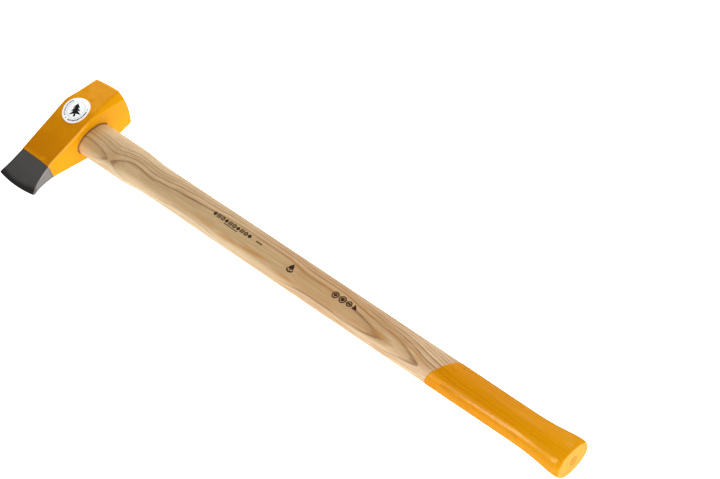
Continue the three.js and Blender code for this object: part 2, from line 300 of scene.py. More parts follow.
def ridge_highlight_line(P):
    """1 on the narrow flat between the badge cheek and the butt-side flat: the mask of a painted highlight."""
    y = np.clip(P[:, 1], EDGE_Y, POLL_Y)
    t = cheek_z(y)
    lean = LEAN * clamp01((t - 1.2) / 4.0) * clamp01((-26.0 - y) / 50.0)
    cx, cz = height(y, 0) - lean - 1.05, t - 1.05
    d = np.hypot(P[:, 0] - cx, P[:, 2] - cz)
    return np.exp(-(d / 1.5) ** 4) * smooth((4.0 - y) / 16.0)


def crease_shade_line(P):
    """1 along the upper border of the corner flat beside the badge cheek, on the poll half: the mask of a painted shade
    line.
    """
    y = np.clip(P[:, 1], EDGE_Y, POLL_Y)
    s = clamp01((y - RIDGE_Y) / (POLL_Y - RIDGE_Y))
    cx = 2.1 + (8.4 - 2.1) * (1 - (1 - s) ** 2.2)
    d = np.hypot(P[:, 0] - (height(y, 0) - cx + 0.6), P[:, 2] - cheek_z(y) + 0.4)
    return np.exp(-(d / 2.2) ** 2) * smooth((y - 10.0) / 14.0)


def cheek_side(P):
    """1 on the two cheeks, 0 on the other faces."""
    y = np.clip(P[:, 1], EDGE_Y, POLL_Y)
    t = cheek_z(y)
    body = smooth((np.abs(P[:, 2]) / np.maximum(t, 0.8) - 0.93) / 0.05)
    # on the thin bit: by the distance from the two narrow sides
    lean = LEAN * clamp01((t - 1.2) / 4.0) * clamp01((-26.0 - y) / 50.0)
    low = height(y, 0) - lean * clamp01((P[:, 2] + t) / (2 * t))
    gap = np.minimum(low - P[:, 0], P[:, 0] + height(y, 1))
    return np.where(P[:, 1] < BIT_Y + 4.0, smooth((gap - 0.75) / 0.7), body)


def build_head():
    rough = waves(11, 26, 30.0)
    fine = waves(12, 30, 9.0)
    wob = waves(13, 16, 26.0)
    rows = []      # (ring xz, y base, crown weight, paint 0/1)
    # rounded nose of the blunt edge
    for th in (78, 55, 28):
        a = math.radians(th)
        rows.append((head_ring(EDGE_Y, 0, EDGE_T * math.cos(a), radius=0.3), EDGE_Y - 0.45 * math.sin(a), 1.0, 0))
    ys = [EDGE_Y + v for v in np.concatenate([np.arange(0, 12, 0.6), np.arange(12, BIT_Y - EDGE_Y - 1.0, 1.3)])]
    ys += [BIT_Y - v for v in (0.9, 0.55, 0.3, 0.12, 0.0)]
    for y in ys:
        w = clamp01((BIT_Y - y) / (BIT_Y - EDGE_Y))
        bevel = EDGE_T + BEVEL * (y - EDGE_Y)
        t = float(softmin(np.array(cheek_z(np.array(y))), np.array(bevel), 0.22)) if y < EDGE_Y + 14 else float(cheek_z(np.array(y)))
        step = PAINT_LIP * smooth((y - EDGE_Y) / 30)
        rows.append((head_ring(y, float(step), t, radius=0.55), y, float(w), 0))
    lip_rows = [(0.02, 0.62), (0.07, 0.36), (0.15, 0.16), (0.28, 0.04), (0.5, 0.0), (0.9, 0.0)]
    for d, k in lip_rows:
        rows.append((head_ring(BIT_Y + d, PAINT_LIP * k, radius=0.7 + d * 0.6), BIT_Y + d, 0.0, 1))
    y = BIT_Y + 2.2
    while y < POLL_Y - 3.6:
        rows.append((head_ring(y, 0, radius=1.9 + 3.4 * float(smooth((y - 22.0) / 40.0))), y, 0.0, 1))
        y += 0.9 if abs(y - RIDGE_Y) < 9 else 1.5
    rp = 3.3
    for k in range(7):
        a = math.radians(90 * k / 6)
        rows.append((head_ring(POLL_Y, 0, inset=rp * (1 - math.cos(a)), radius=5.3), POLL_Y - rp + rp * math.sin(a), 0.0, 1))
    n = len(rows[0][0])
    V, paint = [], []
    for ring, yb, w, pt in rows:
        x, z = ring[:, 0], ring[:, 1]
        yy = yb + w * crown_at(x)
        if w > 0:
            # keep the ground planes flat although the edge is crowned
            slope = (BIT_T - EDGE_PLANE) / (BIT_Y - EDGE_Y)
            grow = slope * (yy - yb) * smooth((yb - EDGE_Y) / 6.0)
            t = np.abs(z).max()
            z = z * (1 + grow / max(t, 0.3))
        V.append(np.stack([x, yy, z], 1))
        paint.append(pt)
    V = np.array(V)
    # poll cap: rings that shrink to the middle of the striking face
    last = V[-1]
    mid = np.array([last[:, 0].mean(), POLL_Y, 0.0])
    caps = []
    for k in range(1, 15):
        s = 1 - k / 15.0
        r = mid + (last - mid) * s
        caps.append(r)
    V = np.concatenate([V, np.array(caps)])
    paint += [1] * len(caps)
    rows_n = len(V)
    P = V.reshape(-1, 3)
    base_y = np.repeat([r[1] for r in rows] + [POLL_Y] * len(caps), n)
    # the line between paint and ground steel wanders a little
    near = np.exp(-((base_y - BIT_Y) / 9.0) ** 2)
    wander = 0.32 * wob(P * [1, 0, 1]) + 0.010 * P[:, 0]
    P[:, 1] += near * (1.9 + wander - 0.027 * P[:, 0])
    # the striking end is not quite square, and crowned: pulled back at its upper corner
    last_part = smooth((base_y - 34.0) / 31.0)
    P[:, 1] += last_part * (2.2 + 0.085 * P[:, 0] - 2.8 * ((P[:, 0] - 8.0) / 36.0) ** 2 - 2.6 * ((P[:, 2] - 22.0) / 42.0) ** 2 * (P[:, 2] < 22)
                               - 0.052 * np.clip(P[:, 0] + 23.0, 0, 50) * smooth((P[:, 2] + 8.0) / 34.0))
    # forged and blasted surface: slow undulation, less on the ground bit
    painted = smooth((base_y - BIT_Y) / 6.0)
    amp = 0.13 * painted + 0.02
    side = np.abs(P[:, 2]) / np.maximum(cheek_z(np.clip(P[:, 1], EDGE_Y, POLL_Y)), 0.8)
    wz, wx = smooth((side - 0.75) / 0.25), 1 - smooth((side - 0.75) / 0.25)
    und = amp * rough(P) + 0.4 * amp * fine(P)
    ywt = smooth((POLL_Y - P[:, 1]) / 3.0)
    P[:, 2] += np.sign(P[:, 2]) * wz * und * ywt
    P[:, 0] += np.sign(P[:, 0]) * wx * und * 0.8 * ywt * smooth((base_y - EDGE_Y) / 8.0)
    # very slightly crowned striking face
    cap = base_y >= POLL_Y - 1e-6
    rr = np.hypot((P[:, 0] - mid[0]) / 26.0, P[:, 2] / 31.0)
    P[:, 1] += np.where(cap, 0.10 * (1 - np.clip(rr, 0, 1) ** 2) + 0.05 * fine(P) * clamp01(1.1 - rr), 0)
    faces = [tuple(f) for f in ring_faces(rows_n, n)]
    mats = []
    for j in range(rows_n - 1):
        mats += [1 if (paint[j] and paint[j + 1]) or paint[j + 1] else 0] * n
    mats = [0 if m == 1 else 1 for m in mats]      # slot 0 paint, slot 1 ground steel
    # close the poll
    c_id = len(P)
    P = np.vstack([P, [[mid[0], POLL_Y + 0.10, 0.0]]])
    first = (rows_n - 1) * n
    for i in range(n):
        faces.append((first + i, first + (i + 1) % n, c_id))
        mats.append(0)
    # close the nose with a strip between the two cheeks
    half = n // 2
    # the ring starts at the near, butt-side corner and goes round; mirror partners share x
    idx = np.arange(n)
    key = {}
    for i in idx:
        key.setdefault((round(float(rows[0][0][i, 0]), 4), round(abs(float(rows[0][0][i, 1])), 5)), []).append(i)
    partner = {}
    for v in key.values():
        if len(v) == 2:
            partner[v[0]], partner[v[1]] = v[1], v[0]
    nose = []
    for i in range(n):
        j = (i + 1) % n
        if i in partner and j in partner and rows[0][0][i, 1] > 0 and rows[0][0][j, 1] > 0:
            nose.append((j, i, partner[i], partner[j]))
    for f in nose:
        faces.append(f)
        mats.append(1)
    return P, faces, mats


def oval(x, a, b, n, power=POWER):
    t = np.arange(n) * 2 * math.pi / n
    c, s = np.cos(t), np.sin(t)
    return np.stack([
        np.full(n, 0.0) + x,
        a * np.sign(c) * np.abs(c) ** (2 / power),
        b * np.sign(s) * np.abs(s) ** (2 / power)], 1)


def eye_axes(x):
    t = (np.asarray(x, float) + HEAD_HALF) / (2 * HEAD_HALF)
    return EYE_TOP[0] + (EYE_LOW[0] - EYE_TOP[0]) * t, EYE_TOP[1] + (EYE_LOW[1] - EYE_TOP[1]) * t


def build_eye_cutter(n=168, r=1.5):
    """The eye, with both mouths rounded over. Each ring near a mouth follows the face of the head."""
    rings = []
    prof = [(-3.0, r * 1.0 + 2.2), (-0.4, r * 1.0 + 0.35)] + [
        (r * (1 - math.sin(a)), r * (1 - math.cos(a))) for a in np.radians([82, 66, 50, 36, 22, 10, 0])]
    # top side first (x negative)
    for d, g in prof:
        a, b = eye_axes(-HEAD_HALF + max(d, 0))
        ring = oval(0.0, float(a) + g, float(b) + g, n)
        ring[:, 0] = -(height(ring[:, 1], 1)) + d
        rings.append(ring)
    for x in np.linspace(-20, 20, 5):
        a, b = eye_axes(x)
        rings.append(oval(x, float(a), float(b), n))
    for d, g in reversed(prof):
        a, b = eye_axes(HEAD_HALF - max(d, 0))
        ring = oval(0.0, float(a) + g, float(b) + g, n)
        ring[:, 0] = height(ring[:, 1], 0) - d
        rings.append(ring)
    P = np.concatenate(rings)
    faces = [tuple(f) for f in ring_faces(len(rings), n)]
    faces.append(tuple(range(n)))
    faces.append(tuple(reversed(range(len(P) - n, len(P)))))
    return P, faces


# ======================================================================================
# haft
# ======================================================================================
GRAIN_X = [-40, 20, 40, 55, 68, 76, 84, 92, 100, 110, 122, 135, 148, 160, 172, 185, 200, 215, 235, 260, 300, 350, 400, 440,
           480, 510, 530, 554, 570, 586, 606, 622, 639, 656, 675, 705, 760, 820, 870]
GRAIN_A = [0.4, 0.0, -0.47, -1.13, -2.26, -3.0, -3.6, -3.0, -1.9, -0.2, 1.29, 1.72, 1.43, 1.32, 1.75, 1.83, 1.74, 1.26, 1.39, 1.95,
           4.72, 5.75, 4.61, 1.38, 0.89, 1.25, 0.82, -0.22, -1.07, -1.63, -3.29, -4.35, -5.37, -5.75, -5.99, -5.6, -4.74, -8.2, -11.5]
GRAIN_B = [-0.5, -0.4, -0.25, -0.16, -0.08, 0.08, 0.30, 0.60, 0.86, 0.96, 0.65, -0.09, -0.82, -0.94, -0.26, 1.01, 2.77, 4.1, 5.13, 5.21,
           4.56, 3.84, 4.71, 5.74, 6.48, 4.95, 3.49, 2.72, 2.33, 2.46, 3.22, 2.76, 1.3, -0.27, -2.57, -6.54, -8.57, -7.07, -4.5]
# growth-ring borders in depth (millimetres), and how dark each one is
RINGS = [-48, -44.5, -41.8, -38.6, -36, -33.2, -31, -28.2, -25.6, -23.2, -20.4, -18.2, -15.6, -13.4, -11.2, -8.9, -6.3, -3.4, -0.27,
         3.1, 6.42, 8.3, 10.16, 11.95, 13.8, 17.98, 27.5, 31, 35, 40]
DARK = [.8, .6, .9, .5, .8, .7, 1., .6, .8, .5, .9, .7, .5, .9, .6, .8, .5, .8, .9, .6, .95, .4, .9, .45, 1., 1., .7, .8, .6, .8]


def grain_depth(p):
    """Depth through the growth rings: nearly flat rings, tipped across the haft, wandering along it."""
    x, y, z = p[:, 0], p[:, 1], p[:, 2]
    s = 0.829 * y + 0.559 * z
    d = 0.829 * z - 0.559 * y + pchip(x, GRAIN_X, GRAIN_A) + pchip(x, GRAIN_X, GRAIN_B) * (s + 6) / 20
    d = d - (s + 3) ** 2 / 420.0
    return d + 0.11 * GW1(p, (6, 1, 1)) + 0.06 * GW2(p, (4, 1, 1))


GW1 = waves(31, 14, 26.0)
GW2 = waves(32, 18, 11.0)


def ring_count(p):
    return np.interp(grain_depth(p), RINGS, np.arange(len(RINGS)))


def grain_vec(p):
    """Coordinates that follow the fibres: along the haft, depth through the rings, across."""
    s = 0.829 * p[:, 1] + 0.559 * p[:, 2]
    return np.stack([p[:, 0], grain_depth(p), s], 1)


def streaks(p):
    """Warm brown streaks in the wood at a few places on the badge side, and some on the back."""
    x = p[:, 0]
    phi = np.degrees(np.arctan2(p[:, 2] / 16.4, p[:, 1] / 24.0))
    out = np.zeros(len(p))
    for cx, cp, lx, lp, k, tilt in (
            (352, 127, 27, 7.0, 1.0, -0.16), (312, 137, 26, 8.0, 0.70, -0.16), (414, 136, 21, 6.5, 0.90, -0.10), (262, 130, 50, 12, 0.40, -0.05),
            (470, 126, 40, 8, 0.30, 0.05), (574, 120, 15, 7.5, 1.0, 0.35), (545, 132, 30, 9, 0.35, 0.0), (430, 101, 50, 2.5, 0.45, 0.02),
            (470, 87, 40, 3.4, 0.75, 0.05), (420, 79, 26, 3.6, 0.75, 0.2), (500, 70, 60, 6, 0.30, 0.10), (150, 150, 40, 6, 0.25, 0.0),
            (50, 133, 30, 9, 0.35, 0.0), (84, 118, 6, 9, 0.4, 0.0), (610, 97, 34, 5, 0.6, 0.25), (632, 117, 16, 6, 0.5, 0.4), (560, 84, 40, 4, 0.5, 0.25),
            (200, -120, 60, 9, 0.6, 0.05), (430, -100, 80, 8, 0.5, -0.04), (95, -70, 40, 10, 0.5, 0.0), (560, -60, 50, 7, 0.5, 0.08)):
        dx, dp = (x - cx), (phi - cp - tilt * (x - cx))
        out = np.maximum(out, k * np.exp(-(np.abs(dx / lx) ** 2.4) - (dp / lp) ** 2))
    return out


def painted_edge_light(p):
    """Painted light: paler wood on the narrow edges of the stick, towards the bit and a little towards the poll."""
    phi = np.degrees(np.arctan2(p[:, 2] / 16.4, p[:, 1] / 24.0)) % 360.0
    edge = smooth((phi - 134.0) / 18.0) * smooth((226.0 - phi) / 18.0)
    back = np.maximum(smooth((68.0 - phi) / 16.0), smooth((phi - 300.0) / 20.0))
    return np.clip(edge + 0.6 * back, 0, 1)


def haft_axes(x):
    a = pchip(x, SECTIONS[:, 0], SECTIONS[:, 1])
    b = pchip(x, SECTIONS[:, 0], SECTIONS[:, 2])
    ea, eb = eye_axes(np.clip(x, -HEAD_HALF, HEAD_HALF))
    inside = x < 28.6
    a = np.where(inside, ea - 0.32, a)
    b = np.where(inside, eb - 0.32, b)
    # at the mouth of the eye the wood is shaved down a little
    m = np.exp(-((x - 27.2) / 2.2) ** 2)
    return a - 0.5 * m, b - 0.5 * m


N_HAFT = 160


def build_haft():
    xs = list(np.array([HAFT_TOP, HAFT_TOP + 0.12, HAFT_TOP + 0.35, HAFT_TOP + 0.7, HAFT_TOP + 1.2, HAFT_TOP + 2.0, HAFT_TOP + 3.2]))
    xs += list(np.arange(-25, 20, 4.0)) + list(np.arange(20, 36, 1.0)) + list(np.arange(36, 100, 2.6)) + list(np.arange(100, 166, 1.8))
    xs += list(np.arange(166, DIP_X - 6, 2.6))
    xs += list(DIP_X + np.array([-5, -3.2, -2.0, -1.2, -0.7, -0.35, -0.12, 0.0, 0.10, 0.25, 0.45, 0.8, 1.3, 2.0, 3.2, 5]))
    xs += list(np.arange(DIP_X + 7.5, 796, 2.6)) + list(np.arange(798, 860, 1.6)) + [860.5, 861.8, 863.0, 864.2, 865.3, 866.3, 867.1, 867.8, 868.3, 868.6, HAFT_END]
    xs = np.array(xs)
    dip_row = int(np.argmin(np.abs(xs - DIP_X)))
    a, b = haft_axes(xs)
    # chamfer on the sawn end of the tenon
    cham = np.array([0.75 * (1 - smooth((x - HAFT_TOP) / 0.9)) for x in xs])
    a, b = a - cham, b - cham
    slow = waves(21, 14, 75.0)
    mid = waves(22, 18, 24.0)
    drip = waves(23, 14, 13.0)
    V = []
    for x, aa, bb in zip(xs, a, b):
        V.append(oval(x, aa, bb, N_HAFT))
    V = np.array(V)
    P = V.reshape(-1, 3)
    bx = np.repeat(xs, N_HAFT)
    radial = P * [0, 1, 1]
    radial = np.stack([np.zeros(len(P)), P[:, 1] / 24.0**2, P[:, 2] / 16.4**2], 1)
    radial /= np.linalg.norm(radial, axis=1)[:, None]
    out = smooth((bx - 34) / 12.0) * smooth((HAFT_END - 1 - bx) / 4.0)
    disp = out * (0.10 * slow(P, (2.5, 1, 1)) + 0.035 * mid(P, (2, 1, 1)))
    # the dipped paint is a thick coat with a rounded edge
    coat = smooth((bx - DIP_X) / 0.85) ** 0.6 * 0.24
    bead = 0.07 * np.exp(-((bx - DIP_X - 2.2) / 1.6) ** 2)
    disp = disp + coat + bead - 0.0
    P += radial * disp[:, None]
    # the edge of the paint slants across the grip and wanders
    fall = np.exp(-np.abs((bx - DIP_X) / 42.0) ** 2)
    P[:, 0] += fall * (DIP_TILT * P[:, 1] + 0.45 * drip(np.stack([P[:, 0] * 0, P[:, 1], P[:, 2]], 1)))
    n = N_HAFT
    rows = len(xs)
    faces = [tuple(f) for f in ring_faces(rows, n)]
    mats = []
    for j in range(rows - 1):
        mats += [1 if j >= dip_row else 0] * n
    # knob end face: oval at the rim, round at the turning-centre mark
    t = np.arange(n) * 2 * math.pi / n
    rim = P[(rows - 1) * n:rows * n].copy()
    prof = [(0.965, 0.0, 0.10), (0.90, 0, 0.16), (0.8, 0, 0.18), (0.68, 0, 0.18), (0.56, 0, 0.18), (0.45, 0, 0.18)]
    extra = []
    for k, _, dx in prof:
        extra.append(np.stack([rim[:, 0] + dx, rim[:, 1] * k, rim[:, 2] * k], 1))
    circ = [(7.6, 0.18), (6.3, 0.16), (6.0, -0.02), (5.6, -0.26), (5.2, -0.02), (4.9, 0.16), (4.0, 0.20), (3.35, 0.22), (3.1, 0.02),
            (2.6, -0.5), (1.8, -1.2), (1.0, -1.9), (0.35, -2.3)]
    for r, dx in circ:
        extra.append(np.stack([np.full(n, HAFT_END + dx + 0.0), 0.3 - 0.0 + r * np.cos(t), r * np.sin(t)], 1))
    E = np.array(extra)
    endn = waves(24, 16, 7.0)
    Ef = E.reshape(-1, 3)
    Ef[:, 0] += 0.05 * endn(Ef)
    P = np.vstack([P, Ef])
    f2 = ring_faces(1 + len(extra), n, (rows - 1) * n)
    faces += [tuple(f) for f in f2]
    mats += [1] * len(f2)
    cid = len(P)
    P = np.vstack([P, [[HAFT_END - 2.45, 0.3, 0.0]]])
    first = cid - n
    for i in range(n):
        faces.append((first + i, first + (i + 1) % n, cid))
        mats.append(1)
    # sawn end of the tenon: rings towards the middle
    caps, base0 = [], P[:n].copy()
    start = len(P)
    saw = waves(25, 14, 5.0)
    for k in range(1, 16):
        s = 1 - k / 16.0
        ring = base0 * [1, s, s]
        caps.append(ring)
    C = np.array(caps).reshape(-1, 3)
    C[:, 0] += 0.05 * saw(C * [0, 1, 1])
    P = np.vstack([P, C])
    cid = len(P)
    P = np.vstack([P, [[HAFT_TOP, 0, 0]]])
    prev = np.arange(n)
    for k in range(15):
        cur = start + k * n + np.arange(n)
        for i in range(n):
            faces.append((prev[(i + 1) % n], prev[i], cur[i], cur[(i + 1) % n]))
            mats.append(0)
        prev = cur
    for i in range(n):
        faces.append((prev[(i + 1) % n], prev[i], cid))
        mats.append(0)
    return P, faces, mats


KERF_DEPTH, WEDGE_DEPTH, W_TOP, W_TIP = 40.0, 37.0, 6.4, 1.6
RING_R, RING_TOP, RING_TIP, RING_DEPTH = 11.5, 2.8, 0.8, 24.0


def slab(x0, x1, h0, h1, y=40.0):
    P = np.array([[x0, y, h0], [x0, -y, h0], [x0, -y, -h0], [x0, y, -h0], [x1, y, h1], [x1, -y, h1], [x1, -y, -h1], [x1, y, -h1]], float)
    F = [(0, 1, 2, 3), (7, 6, 5, 4), (0, 4, 5, 1), (1, 5, 6, 2), (2, 6, 7, 3), (3, 7, 4, 0)]
    return P, F


def lathe(profile, n, x0):
    """profile is (distance below the sawn end, radius) and closes on itself."""
    t = np.arange(n) * 2 * math.pi / n
    rings = [np.stack([np.full(n, x0 + d), r * np.cos(t), r * np.sin(t)], 1) for d, r in profile]
    P = np.concatenate(rings)
    m = len(profile)
    F = []
    for j in range(m):
        for i in range(n):
            F.append((j * n + i, j * n + (i + 1) % n, ((j + 1) % m) * n + (i + 1) % n, ((j + 1) % m) * n + i))
    return P, F


def ring_profile(grow, above):
    mid = RING_R - RING_TOP / 2
    top, tip = RING_TOP / 2 + grow, RING_TIP / 2 + grow
    return [(-above, mid - top), (0, mid - top), (RING_DEPTH + grow, mid - tip), (RING_DEPTH + grow, mid + tip), (0, mid + top), (-above, mid + top)]


# ======================================================================================
# printed marks: thin closed patches that follow the surface they are printed on
# ======================================================================================
class Patches:
    def __init__(self, place):
        self.V, self.F, self.place = [], [], place

    def add(self, fn, nu, nv):
        """fn(u, v) gives flat coordinates; place(flat, k) puts them on the surface, k = 0 under and 1 on top."""
        u, v = np.meshgrid(np.linspace(0, 1, nu + 1), np.linspace(0, 1, nv + 1), indexing="ij")
        flat = np.stack(fn(u.ravel(), v.ravel()), 1)
        lo, hi = self.place(flat, 0), self.place(flat, 1)
        base = sum(len(a) for a in self.V)
        m = len(flat)
        self.V += [lo, hi]
        idx = np.arange(m).reshape(nu + 1, nv + 1)
        for i in range(nu):
            for j in range(nv):
                a, b, c, d = idx[i, j], idx[i + 1, j], idx[i + 1, j + 1], idx[i, j + 1]
                self.F.append((base + m + a, base + m + b, base + m + c, base + m + d))
                self.F.append((base + d, base + c, base + b, base + a))
        loop = list(idx[:, 0]) + list(idx[-1, 1:]) + list(idx[-2::-1, -1]) + list(idx[0, -2:0:-1])
        for k in range(len(loop)):
            p, q = loop[k], loop[(k + 1) % len(loop)]
            self.F.append((base + p, base + q, base + m + q, base + m + p))

    def bar(self, x0, x1, s0, s1, skew=0.0):
        self.add(lambda u, v: (x0 + (x1 - x0) * u + skew * (v - 0.5), s0 + (s1 - s0) * v),
                 max(1, int(abs(x1 - x0) / 1.5)), max(1, int(abs(s1 - s0) / 0.9)))

    def quad(self, p, nu=4, nv=4):
        p = [np.array(q, float) for q in p]

        def fn(u, v):
            a = p[0][None] * ((1 - u) * (1 - v))[:, None] + p[1][None] * (u * (1 - v))[:, None] + p[2][None] * (u * v)[:, None] + p[3][None] * ((1 - u) * v)[:, None]
            return a[:, 0], a[:, 1]
        self.add(fn, nu, nv)

    def arc(self, cx, cs, r0, r1, a0=0.0, a1=360.0, n=None):
        n = n or max(3, int(abs(a1 - a0) / 9))
        self.add(lambda u, v: (cx + (r0 + (r1 - r0) * v) * np.cos(np.radians(a0 + (a1 - a0) * u)),
                               cs + (r0 + (r1 - r0) * v) * np.sin(np.radians(a0 + (a1 - a0) * u))), n, max(1, int(abs(r1 - r0) / 0.9)))

    def mesh(self, name):
        me = new_mesh(name, np.concatenate(self.V), self.F)
        clean(me, 1e-5)
        return me


def on_haft(flat, k):
    """flat = (x along the haft, arc length round it from the top of the badge side towards the bit)."""
    x, s = flat[:, 0], flat[:, 1]
    a, b = haft_axes(x)
    # arc length to parameter angle, by a short table for this section
    th = np.radians(np.linspace(30, 150, 241))
    out = np.zeros((len(x), 3))
    for i in range(len(x)):
        c, sn = np.cos(th), np.sin(th)
        yy = a[i] * np.sign(c) * np.abs(c) ** (2 / POWER)
        zz = b[i] * np.abs(sn) ** (2 / POWER)
        L = np.concatenate([[0], np.cumsum(np.hypot(np.diff(yy), np.diff(zz)))])
        L -= np.interp(math.pi / 2, th, L)
        t = np.interp(s[i], L, th)
        y0, z0 = np.interp(t, th, yy), np.interp(t, th, zz)
        nrm = np.array([0, y0 / a[i] ** 2, z0 / b[i] ** 2])
        nrm /= np.linalg.norm(nrm)
        out[i] = np.array([x[i], y0, z0]) + nrm * (0.06 + 0.05 * k)
    slow, mid = waves(21, 14, 75.0), waves(22, 18, 24.0)
    n = np.stack([np.zeros(len(out)), out[:, 1] / 24.0**2, out[:, 2] / 16.4**2], 1)
    n /= np.linalg.norm(n, axis=1)[:, None]
    return out + n * (0.10 * slow(out, (2.5, 1, 1)) + 0.035 * mid(out, (2, 1, 1)))[:, None]


def build_haft_marks():
    p = Patches(on_haft)
    # a plain ornament band: lozenges, uprights and small rings
    x = 268.0
    for i in range(10):
        c, m = x + 2.9, -0.9
        if i % 3 == 0:
            p.quad([(c - 3.3, m), (c, m - 3.4), (c + 3.3, m), (c, m + 3.4)], 6, 6)
        elif i % 3 == 1:
            for d in (-2.7, 0.55):
                p.bar(c + d, c + d + 2.15, m - 3.1, m + 3.1)
        else:
            p.arc(c, m, 1.45, 3.2)
            p.arc(c, m, 0.05, 0.75)
        x += 7.02
    # a finer row of dashes under it
    x = 291.5
    while x < 314:
        p.bar(x, x + 2.0, 3.1, 4.7)
        x += 2.7
    for x in (346.6, 350.2, 353.8):
        p.bar(x, x + 2.9, -1.3, 0.7)
    # a small conifer standing on a curved line
    cx = 413.2
    for s0, s1, h in ((-3.2, 0.9, 3.4), (-1.4, 2.9, 4.5), (0.6, 4.9, 5.3)):
        p.quad([(cx, s0), (cx + h, s1 + 0.7), (cx, s1), (cx - h, s1 + 0.7)], 6, 6)
    p.bar(cx - 1.0, cx + 1.0, 4.6, 7.2)
    p.arc(cx, 3.4, 4.9, 6.9, 30, 150, 16)
    # round signs: a cross, a dot, a lozenge; and a small triangle
    for k, (cx, r) in enumerate(((488.0, 5.2), (500.3, 5.3), (511.6, 4.3))):
        p.arc(cx, 0.4, r - 1.6, r)
        if k == 0:
            p.bar(cx - 2.7, cx + 2.7, -0.7, 1.5)
            p.bar(cx - 1.1, cx + 1.1, -2.3, 3.1)
        elif k == 1:
            p.arc(cx, 0.4, 0.1, 2.7)
        else:
            p.bar(cx - 2.0, cx + 2.0, -0.9, 1.7)
    p.quad([(518.6, 4.0), (525.6, 3.2), (523.4, -0.2), (519.0, -3.8)], 5, 5)
    return p.mesh("haft_marks")


# ======================================================================================
# badge
# ======================================================================================
BADGE = np.array([-2.8, 6.1])
BADGE_R = 20.3


def badge_z(y):
    return cheek_z(np.asarray(y, float))


def on_badge(flat, k, base=0.62):
    x, y = BADGE[0] + flat[:, 0], BADGE[1] + flat[:, 1]
    z = badge_z(y)
    e = 0.05
    slope = (badge_z(y + e) - badge_z(y - e)) / (2 * e)
    n = np.stack([np.zeros(len(x)), -slope, np.ones(len(x))], 1)
    n /= np.linalg.norm(n, axis=1)[:, None]
    return np.stack([x, y, z], 1) + n * (base + 0.03 * k)


def build_badge():
    """Thin disc with a softly rounded rim, bent over the ridge."""
    spokes, rows = 120, []
    prof = [(0.02, 0.30)] + [(r, 0.30) for r in (0.1, 0.2, 0.3, 0.4, 0.5, 0.6, 0.7, 0.78, 0.86, 0.92, 0.96, 0.98)] + [
        (0.990, 0.285), (0.996, 0.255), (1.0, 0.20), (1.0, 0.10), (0.996, 0.03), (0.985, 0.0)] + [
        (r, 0.0) for r in (0.94, 0.86, 0.76, 0.64, 0.5, 0.36, 0.22, 0.1, 0.02)]
    t = np.arange(spokes) * 2 * math.pi / spokes
    for r, h in prof:
        flat = np.stack([BADGE_R * r * np.cos(t), BADGE_R * r * np.sin(t)], 1)
        rows.append(on_badge(flat, 0, 0.30 + h))
    P = np.concatenate(rows)
    n = spokes
    F = [tuple(f) for f in ring_faces(len(rows), n)]
    F.append(tuple(reversed(range(n))))
    F.append(tuple(range(len(P) - n, len(P))))
    return P, F


def build_badge_marks():
    p = Patches(lambda flat, k: on_badge(flat, k, 0.615))
    # thin ring
    p.arc(0, 0, 13.0, 13.45, 0, 359.99, 90)
    q = Patches(lambda flat, k: on_badge(flat, k, 0.615))
    # ticks round the rim, in two groups, and two dots between them
    for a in list(np.arange(148, 236, 6.6)) + list(np.arange(268, 375, 6.6)):
        w = 4.3 if int(a * 10) % 3 else 3.0
        q.arc(0, 0, 15.3, 17.8, a, a + w, 3)
    for a in (253, 30):
        q.arc(16.6 * math.cos(math.radians(a)), 16.6 * math.sin(math.radians(a)), 0.15, 0.9, 0, 359.9, 16)
    # a conifer, standing with its top towards the far upper side
    ang = math.radians(118)
    ca, sa = math.cos(ang), math.sin(ang)

    def turn(pts):
        return [(1.10 * (ca * a - sa * b), 1.10 * (sa * a + ca * b)) for a, b in pts]
    for x0, x1, h in ((9.6, 3.6, 4.9), (5.6, -0.9, 6.6), (1.2, -5.4, 8.2)):
        q.quad(turn([(x0, 0), (x1 - 1.3, h), (x1, 0), (x1 - 1.3, -h)]), 6, 6)
    q.quad(turn([(-5.0, 1.2), (-9.4, 1.5), (-9.4, -1.5), (-5.0, -1.2)]), 4, 3)
    return p.mesh("badge_ring"), q.mesh("badge_marks")


